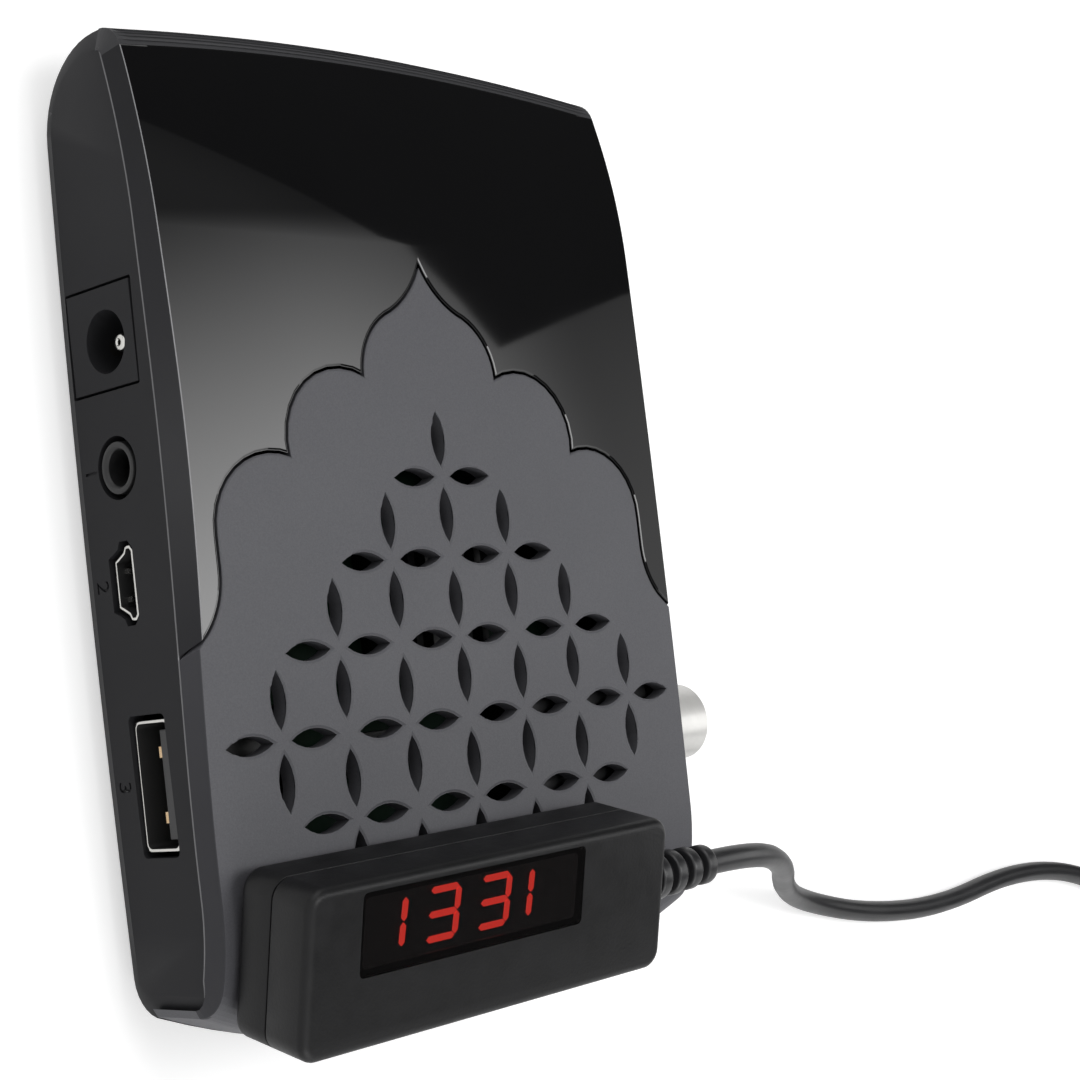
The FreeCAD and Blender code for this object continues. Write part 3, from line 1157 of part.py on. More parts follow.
def cord_tube():
    """Round tube along the route from the strain relief to the coil."""
    tip = relief_tip()
    points = [tip, tip + vec(CORD_FIRST_RUN, 0, 0)] + [vec(*point) for point in CORD_ROUTE]
    path = cord_path(points)
    heading = points[1] - points[0]
    section = Part.Wire(Part.makeCircle(CORD_RADIUS, points[0], heading))
    tube = path.makePipeShell([section], True, True)
    expected = math.pi * CORD_RADIUS ** 2 * path.Length
    turns = 2 * math.pi * COIL_MIDDLE_RADIUS * COIL_TURNS
    print("cord run", round(path.Length, 1), "volume over section times length", round(tube.Volume / expected, 4))
    print("cord length in all", round(path.Length + turns + COIL_LEAD + PLUG_TAIL, 1))
    return tube


# ---- assembly ----
def receiver_parts():
    """Every piece of the receiver, by name."""
    parts = {"base_shell": base_shell(), "circuit_board": circuit_board()}
    parts["arch_cover"], parts["gloss_cover"] = covers()
    parts["rubber_feet"] = rubber_feet()
    parts["case_screws"] = case_screws()
    parts["board_screws"] = board_screws()
    parts["dc_jack_housing"], parts["dc_jack_pin"], parts["dc_jack_spring"] = dc_jack_parts()
    parts["av_jack_body"], parts["av_jack_contacts"] = av_jack_parts()
    parts["mini_port_shell"], parts["mini_port_tongue"] = mini_port_parts()
    (parts["type_a_port_shell"], parts["type_a_port_tongue"],
     parts["type_a_port_contacts"]) = type_a_port_parts()
    (parts["f_connector_barrel"], parts["f_connector_insulator"],
     parts["f_connector_contact"]) = f_connector_parts()
    parts["tuner_can"], parts["tuner_lid"] = tuner_parts()
    parts["video_socket_shell"], parts["video_socket_tongue"] = video_socket_parts()
    parts["main_chip"] = main_chip()
    parts["heat_sink"] = heat_sink()
    parts["memory_chips"] = memory_chips()
    parts["capacitors"] = capacitors()
    parts["inductors"] = inductors()
    parts["crystal"] = crystal()
    return parts


def display_parts():
    """Every rigid piece of the display unit, set on the nose."""
    matrix = display_placement().toMatrix()
    parts = {
        "display_front_shell": display_front_shell(),
        "display_rear_shell": display_rear_shell(),
        "display_window": display_window(),
        "display_board": display_board(),
        "digit_module": digit_module(),
        "lit_segments": lit_segments(),
        "infrared_eye": infrared_eye(),
        "strain_relief": strain_relief(),
    }
    return {name: shape.transformed(matrix) for name, shape in parts.items()}


def cord_parts():
    """The cord's own pieces and its plug."""
    parts = {"cord_tube": cord_tube(), "cord_coil": cord_coil()}
    parts["plug_body"], parts["plug_shell"] = plug_parts()
    return parts


def main():
    solids = {**receiver_parts(), **display_parts()}
    bounds = Part.makeCompound(list(solids.values())).optimalBoundingBox(False, False)
    shift = vec(-bounds.Center.x, -bounds.Center.y, -bounds.ZMin)
    print("origin in the receiver's frame", [round(-value, 4) for value in shift])
    print("size", round(bounds.XLength, 2), round(bounds.YLength, 2), round(bounds.ZLength, 2))
    solids.update(cord_parts())
    os.makedirs("parts", exist_ok=True)
    for name, shape in solids.items():
        if not shape.isValid():
            print("not valid:", name)
        shape.translated(shift).exportStep("parts/" + name + ".step")
        print(name, len(shape.Solids), "solids", round(shape.Volume, 1))


main()
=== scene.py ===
"""A satellite television receiver and its wired display unit.

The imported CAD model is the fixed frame. Each class here is one sub-assembly of
the real thing. It works in millimetres in the receiver's own frame, X to the
right, Y away from the near end and Z up, and the bench turns what it makes into
pieces in metres that ride on the bodies of the frame.
"""

from __future__ import annotations

import logging
import math
from dataclasses import dataclass, field
from enum import Enum
from typing import Callable, ClassVar, Iterable, Optional, Sequence

import bmesh
import bpy
from mathutils import Matrix, Vector

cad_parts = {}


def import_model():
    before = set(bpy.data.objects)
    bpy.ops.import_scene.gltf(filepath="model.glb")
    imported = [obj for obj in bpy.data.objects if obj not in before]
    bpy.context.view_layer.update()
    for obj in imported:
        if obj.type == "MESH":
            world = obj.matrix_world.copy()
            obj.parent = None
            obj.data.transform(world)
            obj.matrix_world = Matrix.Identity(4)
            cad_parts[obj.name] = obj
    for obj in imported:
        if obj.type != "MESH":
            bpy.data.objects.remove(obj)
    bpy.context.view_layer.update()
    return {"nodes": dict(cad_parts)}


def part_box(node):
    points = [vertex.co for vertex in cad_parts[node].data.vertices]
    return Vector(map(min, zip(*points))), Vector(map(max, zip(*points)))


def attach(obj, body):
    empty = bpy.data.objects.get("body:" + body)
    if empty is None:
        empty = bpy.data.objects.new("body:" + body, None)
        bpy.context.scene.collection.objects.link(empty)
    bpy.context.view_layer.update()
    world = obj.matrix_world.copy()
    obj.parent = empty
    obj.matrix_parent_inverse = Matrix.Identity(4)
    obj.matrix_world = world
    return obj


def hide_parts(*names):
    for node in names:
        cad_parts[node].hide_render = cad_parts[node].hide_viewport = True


LOG = logging.getLogger("receiver")
METRES = 0.001
TINY = 1e-4
ON_LINE = 0.02  # millimetres within which a place counts as lying on a line or face
LEVEL = 0.1  # part of a normal below which it counts as square to an axis
FACING = 0.9  # part of a normal above which it counts as along an axis


class Body(Enum):
    """The bodies of the frame that pieces ride on."""

    RECEIVER = "receiver"
    DISPLAY = "display"


class Carve(Enum):
    """What a tool does to the body that it meets."""

    CUT = "DIFFERENCE"
    JOIN = "UNION"


# ---- finishes ----
def linear(colour: str) -> tuple[float, float, float, float]:
    """Turns an sRGB hex colour into linear light.

    Args:
        colour: Six hex digits after a hash.

    Returns:
        Red, green, blue and an alpha of one.
    """
    parts = [int(colour[i : i + 2], 16) / 255 for i in (1, 3, 5)]
    light = [c / 12.92 if c <= 0.04045 else ((c + 0.055) / 1.055) ** 2.4 for c in parts]
    return (light[0], light[1], light[2], 1.0)


def add_node(
    tree: bpy.types.NodeTree,
    kind: str,
    values: Optional[dict] = None,
    links: Optional[dict] = None,
    **settings: object,
) -> bpy.types.Node:
    """Adds one shader node.

    Args:
        tree: The node tree.
        kind: The node's type.
        values: Input socket, by name or index, to its value.
        links: Input socket, by name or index, to the output socket that feeds it.
        **settings: The node's own properties.

    Returns:
        The new node.
    """
    node = tree.nodes.new(kind)
    for name, value in settings.items():
        setattr(node, name, value)
    for socket, value in (values or {}).items():
        node.inputs[socket].default_value = value
    for socket, source in (links or {}).items():
        tree.links.new(source, node.inputs[socket])
    return node


@dataclass(frozen=True)
class Finish:
    """One real material and how its surface was made.

    Sizes are in millimetres: mottle_size is the width of the slow colour
    clouds, grain_size the width of one grain, and grain_depth how deep it is.
    """

    name: str
    colour: str
    roughness: float
    metallic: float = 0.0
    ior: float = 1.5
    specular: float = 0.5
    mottle: str = ""
    mottle_size: float = 12.0
    mottle_share: float = 0.35
    grain_size: float = 0.0
    grain_depth: float = 0.0
    grain_tint: float = 0.0
    rough_swing: float = 0.05
    brushed: tuple[float, float, float] = (1.0, 1.0, 1.0)
    transmission: float = 0.0
    glow: float = 0.0

    def build(self) -> bpy.types.Material:
        """Builds the node material once and returns it."""
        made = bpy.data.materials.get(self.name)
        if made:
            return made
        made = bpy.data.materials.new(self.name)
        made.use_nodes = True
        tree = made.node_tree
        shader = tree.nodes["Principled BSDF"]
        plain = {
            "Metallic": self.metallic,
            "IOR": self.ior,
            "Specular IOR Level": self.specular,
            "Transmission Weight": self.transmission,
            "Emission Color": linear(self.colour),
            "Emission Strength": self.glow,
        }
        for socket, value in plain.items():
            shader.inputs[socket].default_value = value
        place = add_node(tree, "ShaderNodeTexCoord").outputs["Object"]
        clouds = add_node(
            tree,
            "ShaderNodeTexNoise",
            {"Scale": 1 / (self.mottle_size * METRES), "Detail": 4.0, "Roughness": 0.6},
            {"Vector": place},
        )
        colour = self._colour(tree, place, clouds)
        tree.links.new(colour, shader.inputs["Base Color"])
        swing = add_node(
            tree,
            "ShaderNodeMapRange",
            {
                "From Min": 0.3,
                "From Max": 0.7,
                "To Min": max(self.roughness - self.rough_swing, 0.01),
                "To Max": self.roughness + self.rough_swing,
            },
            {"Value": clouds.outputs["Fac"]},
        )
        tree.links.new(swing.outputs["Result"], shader.inputs["Roughness"])
        if self.grain_depth:
            grain = self._grain(tree, place)
            bump = add_node(
                tree,
                "ShaderNodeBump",
                {"Strength": 1.0, "Distance": self.grain_depth * METRES},
                {"Height": grain},
            )
            tree.links.new(bump.outputs["Normal"], shader.inputs["Normal"])
        return made

    def _colour(
        self,
        tree: bpy.types.NodeTree,
        place: bpy.types.NodeSocket,
        clouds: bpy.types.Node,
    ) -> bpy.types.NodeSocket:
        """Mixes the second colour in clouds and darkens or lightens single grains."""
        other = self.mottle or self.colour
        share = add_node(
            tree,
            "ShaderNodeMapRange",
            {"From Min": 0.35, "From Max": 0.65, "To Max": self.mottle_share},
            {"Value": clouds.outputs["Fac"]},
        )
        mix = add_node(
            tree,
            "ShaderNodeMix",
            {6: linear(self.colour), 7: linear(other)},
            {0: share.outputs["Result"]},
            data_type="RGBA",
        )
        if not self.grain_tint:
            return mix.outputs[2]
        speck = add_node(
            tree,
            "ShaderNodeMapRange",
            {
                "From Min": 0.3,
                "From Max": 0.7,
                "To Min": 1 - self.grain_tint,
                "To Max": 1 + self.grain_tint,
            },
            {"Value": self._grain(tree, place)},
        )
        return add_node(
            tree,
            "ShaderNodeVectorMath",
            links={0: mix.outputs[2], 1: speck.outputs["Result"]},
            operation="MULTIPLY",
        ).outputs["Vector"]

    def _grain(
        self, tree: bpy.types.NodeTree, place: bpy.types.NodeSocket
    ) -> bpy.types.NodeSocket:
        """The fine pattern of the surface, drawn out where it is brushed."""
        drawn = add_node(
            tree,
            "ShaderNodeMapping",
            {"Scale": self.brushed},
            {"Vector": place},
        )
        return add_node(
            tree,
            "ShaderNodeTexNoise",
            {"Scale": 1 / (self.grain_size * METRES), "Detail": 3.0, "Roughness": 0.55},
            {"Vector": drawn.outputs["Vector"]},
        ).outputs["Fac"]


# ABS with a spark-eroded mould: fine even grain that spreads every highlight
SPARKED_ABS = Finish(
    "spark_eroded_grey_abs", "#535357", 0.5, specular=0.25, mottle="#4f4f53", mottle_size=30.0,
    grain_size=0.16, grain_depth=0.012, grain_tint=0.10,
)
# ABS moulded against polished steel: black, mirror-like, a trace of flow in it
POLISHED_ABS = Finish(
    "polished_black_abs", "#0c0c0d", 0.03, mottle="#101011", mottle_size=40.0, rough_swing=0.01
)
# ABS from a blasted mould: satin, darker than the arch
SATIN_ABS = Finish(
    "satin_charcoal_abs", "#2a2a2c", 0.45, specular=0.1, mottle="#262628", mottle_size=25.0,
    grain_size=0.12, grain_depth=0.004,
)
# the arch cover's bevels: no grain, and a darker copy of its plastic, painted shade on faces that
# turn away from the light
SHADED_ARCH_BEVEL = Finish("arch_bevel_painted_shade", "#3f3f42", 0.5, specular=0.1, mottle="#39393c")
# the rounded far edge of the polished cover, drawn satin and lighter than the black: painted
# reflection on the polished round
FAR_ROUND_REFLECTION = Finish("far_round_painted_reflection", "#3e3e40", 0.4, specular=0.2, mottle="#39393b")
# a thin light line along the covers' and the side walls' upper edges: painted highlight on the same
# ABS
EDGE_HIGHLIGHT_ABS = Finish("abs_edge_painted_highlight", "#8a8a8c", 0.4, specular=0.2, mottle="#828284")
# ABS with a leather grain, a soft sheen over fine mottling: the display unit's two halves
LEATHER_ABS = Finish(
    "leather_grain_black_abs", "#101011", 0.42, specular=0.25, mottle="#161618", mottle_size=3.0,
    grain_size=0.35, grain_depth=0.02, grain_tint=0.08,
)
# cast acrylic with a smoke tint: a clear dull red-grey pane over the figures
SMOKED_ACRYLIC = Finish(
    "smoked_acrylic", "#605a5a", 0.05, mottle="#5a5454", mottle_size=15.0, specular=0.2,
    transmission=1.0, rough_swing=0.01,
)
# red light emitting bars behind the acrylic: even glow, no grain
RED_LIGHT = Finish("lit_red_bar", "#ff4236", 0.4, glow=4.2, mottle_size=1.0)
# glass-filled nylon for jacks and sockets: dull black
JACK_NYLON = Finish(
    "moulded_black_nylon", "#1b1b1c", 0.5, mottle="#222223", mottle_size=4.0,
    grain_size=0.2, grain_depth=0.006,
)
# polypropylene tongue of the sockets: plain dark grey
TONGUE_POLYMER = Finish("grey_polymer", "#3a3a3b", 0.45, mottle="#444445", mottle_size=3.0)
# bright nickel plate on brass: a soft mirror with a faint orange peel
NICKEL_PLATE = Finish(
    "bright_nickel_plate", "#d9d8d4", 0.16, metallic=1.0, mottle="#c9c8c4", mottle_size=3.0
)
# turned brass barrel under dull nickel: fine rings round the axis
TURNED_NICKEL = Finish(
    "turned_nickel_barrel", "#e0dfdc", 0.35, metallic=0.4, mottle="#cfcecb", mottle_size=2.0,
    grain_size=0.25, grain_depth=0.01, brushed=(1.0, 0.04, 0.04),
)
# tin plated steel sheet: dark grey, softly streaked from rolling
TINPLATE = Finish(
    "tin_plated_sheet", "#3e3e3f", 0.5, metallic=1.0, mottle="#353536", mottle_size=6.0,
    grain_size=0.3, grain_depth=0.004, brushed=(0.1, 1.0, 1.0),
)
# gold flash on bronze contacts: pale gold, smooth
GOLD_FLASH = Finish(
    "gold_flashed_contact", "#dfc4a0", 0.25, metallic=1.0, mottle="#c9963c", mottle_size=2.0
)
# moulded rubber feet: matte black that takes no highlight
FOOT_RUBBER = Finish(
    "moulded_foot_rubber", "#242425", 0.8, mottle="#2c2c2d", mottle_size=3.0,
    grain_size=0.3, grain_depth=0.02,
)
# soft PVC: the cord's sheath and the sleeve, a low waxy sheen
CORD_PVC = Finish(
    "soft_black_pvc", "#1c1c1e", 0.38, mottle="#232325", mottle_size=6.0,
    grain_size=0.4, grain_depth=0.006,
)
# zinc plated screws: cool grey metal, a little blurred
ZINC_STEEL = Finish(
    "zinc_plated_steel", "#a9abad", 0.35, metallic=1.0, mottle="#93959a", mottle_size=1.5
)
# printed solder mask: dark green under a weak sheen
SOLDER_MASK = Finish(
    "green_solder_mask", "#0d2015", 0.5, specular=0.1, mottle="#0a1a10", mottle_size=5.0
)
# moulded epoxy packages: dull black
CHIP_EPOXY = Finish(
    "black_chip_epoxy", "#0c0c0d", 0.6, specular=0.1, mottle="#101011", mottle_size=2
)
# extruded aluminium under black anodising: a dull dark sheen along the fins
EXTRUDED_ALUMINIUM = Finish(
    "black_anodised_aluminium", "#1a1a1b", 0.5, specular=0.2, mottle="#151516", mottle_size=3.0,
    grain_size=0.2, grain_depth=0.01, brushed=(1.0, 0.05, 1.0),
)
# printed film shrunk round the capacitors' cans: smooth blue-black
CAN_SLEEVE = Finish("capacitor_sleeve", "#1b1c20", 0.4, mottle="#222328", mottle_size=2)
# sintered ferrite of the coils: dry dark grey
FERRITE = Finish("sintered_ferrite", "#232324", 0.7, mottle="#303031", mottle_size=1.5)
# turned PTFE inside the barrel: waxy white
WHITE_PTFE = Finish("white_ptfe", "#e6e4de", 0.45, mottle="#dad8d0", mottle_size=3.0)
# phosphor bronze spring drawn near black: painted shade deep in its bore
SHADED_BRONZE_SPRING = Finish("bronze_spring_painted_shade", "#1c1a18", 0.5, specular=0.2, mottle="#141312")
# nickelled sheet drawn dark grey: painted shade inside the sockets' tubes
SHADED_NICKEL_SHEET = Finish("nickel_sheet_painted_shade", "#3a3a3a", 0.6, metallic=1.0, mottle="#2c2c2c")


# ---- modelling tools ----
def arc(start: Vector, via: Vector, end: Vector, steps: int) -> list[Vector]:
    """Points of the flat arc through three places, both ends included."""
    ax, ay, bx, by = via.x - start.x, via.y - start.y, end.x - start.x, end.y - start.y
    cross = 2 * (ax * by - ay * bx)
    a2, b2 = ax * ax + ay * ay, bx * bx + by * by
    centre = Vector(
        (start.x + (by * a2 - ay * b2) / cross, start.y + (ax * b2 - bx * a2) / cross)
    )
    spoke = Vector((start.x, start.y)) - centre
    turn = [
        math.atan2(spoke.x * (p.y - centre.y) - spoke.y * (p.x - centre.x),
                   spoke.x * (p.x - centre.x) + spoke.y * (p.y - centre.y))
        for p in (via, end)
    ]
    full = turn[1]
    if full * turn[0] < 0 or abs(turn[0]) > abs(full):
        full -= math.copysign(2 * math.pi, full)
    points = []
    for step in range(steps + 1):
        c, s = math.cos(full * step / steps), math.sin(full * step / steps)
        points.append(
            Vector((centre.x + spoke.x * c - spoke.y * s,
                    centre.y + spoke.x * s + spoke.y * c, 0.0))
        )
    return points


def grown(points: Sequence[Vector], reach: float) -> list[Vector]:
    """An open flat chain moved to its left by a distance, with mitred corners."""
    moved = []
    for i, point in enumerate(points):
        before = points[max(i - 1, 0)]
        after = points[min(i + 1, len(points) - 1)]
        sides = [b - a for a, b in ((before, point), (point, after)) if (b - a).length > 0]
        normals = [Vector((-d.y, d.x, 0)).normalized() for d in sides]
        middle = sum(normals, Vector()).normalized()
        moved.append(point + middle * (reach / max(middle.dot(normals[0]), 0.45)))
    return moved


def add_loop(bm: bmesh.types.BMesh, points: Iterable[Vector]) -> list[bmesh.types.BMEdge]:
    """Adds a closed loop of edges through the points."""
    verts = [bm.verts.new(point) for point in points]
    return [bm.edges.new((a, b)) for a, b in zip(verts, verts[1:] + verts[:1])]


def push(
    bm: bmesh.types.BMesh, faces: Sequence[bmesh.types.BMFace], way: Vector
) -> list[bmesh.types.BMFace]:
    """Extrudes faces along a vector and returns the faces at the new end."""
    made = bmesh.ops.extrude_face_region(bm, geom=list(faces))["geom"]
    verts = [part for part in made if isinstance(part, bmesh.types.BMVert)]
    bmesh.ops.translate(bm, vec=way, verts=verts)
    return [part for part in made if isinstance(part, bmesh.types.BMFace)]


def round_edges(
    bm: bmesh.types.BMesh,
    edges: Iterable[bmesh.types.BMEdge],
    reach: float,
    segments: int,
) -> None:
    """Bevels edges by a reach, round where it has more than one segment."""
    bmesh.ops.bevel(
        bm,
        geom=list(edges),
        offset=reach,
        segments=segments,
        profile=0.5,
        affect="EDGES",
        material=-1,
    )


def cut_line(bm: bmesh.types.BMesh, place: Vector, normal: Vector) -> None:
    """Adds a line of edges where a plane crosses the mesh."""
    bmesh.ops.bisect_plane(
        bm,
        geom=bm.verts[:] + bm.edges[:] + bm.faces[:],
        dist=TINY / 10,
        plane_co=place,
        plane_no=normal,
    )


def flat(points: Iterable[Vector]) -> bmesh.types.BMesh:
    """A flat filled outline."""
    bm = bmesh.new()
    edges = add_loop(bm, points)
    bmesh.ops.triangle_fill(bm, edges=edges, use_beauty=True, use_dissolve=False)
    return bm


def block(low: Sequence[float], high: Sequence[float]) -> bmesh.types.BMesh:
    """A box between two corners."""
    bm = bmesh.new()
    bmesh.ops.create_cube(bm, size=1.0)
    low, high = Vector(low), Vector(high)
    bmesh.ops.scale(bm, vec=high - low, verts=bm.verts[:])
    bmesh.ops.translate(bm, vec=(high + low) / 2, verts=bm.verts[:])
    return bm


def sheet_of(points: Sequence[Vector], way: Vector) -> bmesh.types.BMesh:
    """One flat many-sided face pushed along a vector into a closed form."""
    bm = bmesh.new()
    bmesh.ops.contextual_create(bm, geom=add_loop(bm, points))
    push(bm, bm.faces[:], way)
    bmesh.ops.recalc_face_normals(bm, faces=bm.faces[:])
    return bm


def loft(rings: Sequence[Sequence[Vector]]) -> bmesh.types.BMesh:
    """A closed form through rings of the same number of places, capped at both ends."""
    bm = bmesh.new()
    made = [[bm.verts.new(place) for place in ring] for ring in rings]
    for a, b in zip(made, made[1:]):
        for j in range(len(a)):
            bm.faces.new((a[j - 1], a[j], b[j], b[j - 1]))
    bm.faces.new(made[0])
    bm.faces.new(made[-1])
    bmesh.ops.recalc_face_normals(bm, faces=bm.faces[:])
    return bm


def upright(
    outline: Sequence[tuple[float, float]], start: float, depth: float
) -> bmesh.types.BMesh:
    """An outline of Y and Z places pushed along X from a start by a depth."""
    return sheet_of([Vector((start, y, z)) for y, z in outline], Vector((depth, 0, 0)))


def gathered(forms: Iterable[bmesh.types.BMesh]) -> bmesh.types.BMesh:
    """Several forms in one."""
    whole = bmesh.new()
    for form in forms:
        mesh = bpy.data.meshes.new("part")
        form.to_mesh(mesh)
        form.free()
        whole.from_mesh(mesh)
        bpy.data.meshes.remove(mesh)
    return whole


def soft_block(
    low: Sequence[float], high: Sequence[float], axis: int, corner: float, segments: int = 6
) -> bmesh.types.BMesh:
    """A box whose four edges along one axis are rounded."""
    bm = block(low, high)
    along = [e for e in bm.edges if abs((e.verts[0].co - e.verts[1].co)[axis]) > TINY]
    round_edges(bm, along, corner, segments)
    return bm


def rod(
    place: Sequence[float], radius: float, length: float, axis: str = "Z", sides: int = 32
) -> bmesh.types.BMesh:
    """A cylinder that starts at a place and runs along an axis."""
    bm = bmesh.new()
    bmesh.ops.create_cone(
        bm,
        cap_ends=True,
        segments=sides,
        radius1=radius,
        radius2=radius,
        depth=length,
    )
    bmesh.ops.translate(bm, vec=(0, 0, length / 2), verts=bm.verts[:])
    turn = {"X": Matrix.Rotation(math.pi / 2, 4, "Y"), "Z": Matrix.Identity(4)}[axis]
    bmesh.ops.transform(bm, matrix=Matrix.Translation(place) @ turn, verts=bm.verts[:])
    return bm


def turned(
    outline: Sequence[tuple[float, float]], origin: Vector, sides: int
) -> bmesh.types.BMesh:
    """A lathed form: the outline's places along X and off the axis, spun about X."""
    bm = bmesh.new()
    verts = [bm.verts.new(origin + Vector((x, 0, r))) for x, r in outline]
    edges = [bm.edges.new(pair) for pair in zip(verts, verts[1:])]
    bmesh.ops.spin(
        bm,
        geom=verts + edges,
        cent=origin,
        axis=(1, 0, 0),
        angle=2 * math.pi,
        steps=sides,
        use_merge=True,
    )
    bmesh.ops.remove_doubles(bm, verts=bm.verts[:], dist=TINY)
    bmesh.ops.holes_fill(bm, edges=bm.edges[:], sides=0)
    bmesh.ops.recalc_face_normals(bm, faces=bm.faces[:])
    return bm


def as_object(bm: bmesh.types.BMesh, name: str) -> bpy.types.Object:
    """Frees a bmesh into a linked object."""
    mesh = bpy.data.meshes.new(name)
    bm.to_mesh(mesh)
    bm.free()
    made = bpy.data.objects.new(name, mesh)
    bpy.context.scene.collection.objects.link(made)
    return made


def carved(
    body: bmesh.types.BMesh, tools: Sequence[tuple[bmesh.types.BMesh, Carve]]
) -> bmesh.types.BMesh:
    """The body after each tool has cut it, in order.

    Args:
        body: The form that is worked on.
        tools: Closed forms, each with what it does.

    Returns:
        The worked form.
    """
    stock = as_object(body, "stock")
    helpers = [stock]
    for number, (tool, action) in enumerate(tools):
        helper = as_object(tool, f"tool_{number}")
        helpers.append(helper)
        worked = stock.modifiers.new(helper.name, "BOOLEAN")
        worked.object, worked.operation, worked.solver = helper, action.value, "EXACT"
    graph = bpy.context.evaluated_depsgraph_get()
    mesh = bpy.data.meshes.new_from_object(stock.evaluated_get(graph))
    bm = bmesh.new()
    bm.from_mesh(mesh)
    for helper in helpers:
        bpy.data.meshes.remove(helper.data)
    bpy.data.meshes.remove(mesh)
    bmesh.ops.remove_doubles(bm, verts=bm.verts[:], dist=TINY)
    return bm


@dataclass
class Bench:
    """Turns finished forms into pieces of the scene."""

    shift: Vector
    made: list[str] = field(default_factory=list)

    @classmethod
    def at_frame(cls) -> "Bench":
        """A bench whose X starts where the circuit board's middle is."""
        low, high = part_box("circuit_board")
        return cls(Vector(((low.x + high.x) / 2 / METRES, 0, 0)))

    def to_row(self) -> Matrix:
        """From the receiver's millimetres to the frame's metres."""
        return Matrix.Scale(METRES, 4) @ Matrix.Translation(self.shift)

    def piece(
        self,
        bm: bmesh.types.BMesh,
        name: str,
        finish: Finish,
        body: Body,
        stands_for: Sequence[str] = (),
        edge: float = 0.0,
        crease: float = 32.0,
        place: Matrix = Matrix.Identity(4),
    ) -> bpy.types.Object:
        """Makes one piece of the object.

        Args:
            bm: Its form in millimetres.
            name: Its name.
            finish: Its finish.
            body: The body that it rides on.
            stands_for: CAD nodes that it replaces.
            edge: Radius of the rounding on all its sharp edges.
            crease: Degrees past which an edge stays sharp.
            place: Where the form goes in the receiver's frame.

        Returns:
            The object.
        """
        bmesh.ops.remove_doubles(bm, verts=bm.verts[:], dist=TINY)
        bmesh.ops.recalc_face_normals(bm, faces=bm.faces[:])
        bmesh.ops.transform(bm, matrix=self.to_row() @ place, verts=bm.verts[:])
        made = as_object(bm, name)
        made.data.materials.append(finish.build())
        made.data.shade_smooth()
        made.data.set_sharp_from_angle(angle=math.radians(crease))
        beside: dict[int, set[int]] = {}
        for face in made.data.polygons:
            for loop in face.loop_indices:
                number = made.data.loops[loop].edge_index
                beside.setdefault(number, set()).add(face.material_index)
        for number, finishes in beside.items():
            if len(finishes) > 1:
                made.data.edges[number].use_edge_sharp = True
        if edge:
            soft = made.modifiers.new("soft_edges", "BEVEL")
            soft.width, soft.segments = edge * METRES, 2
            soft.limit_method, soft.angle_limit = "ANGLE", math.radians(crease)
            soft.use_clamp_overlap, soft.harden_normals = True, True
        self.seat(made, body, stands_for)
        return made

    def seat(
        self,
        made: bpy.types.Object,
        body: Body,
        stands_for: Sequence[str] = (),
    ) -> None:
        """Lets an object ride on its body and what it replaces."""
        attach(made, body.value)
        if stands_for:
            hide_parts(*stands_for)
        self.made.append(made.name)
        LOG.info("%s stands for %s", made.name, ", ".join(stands_for) or "nothing else")


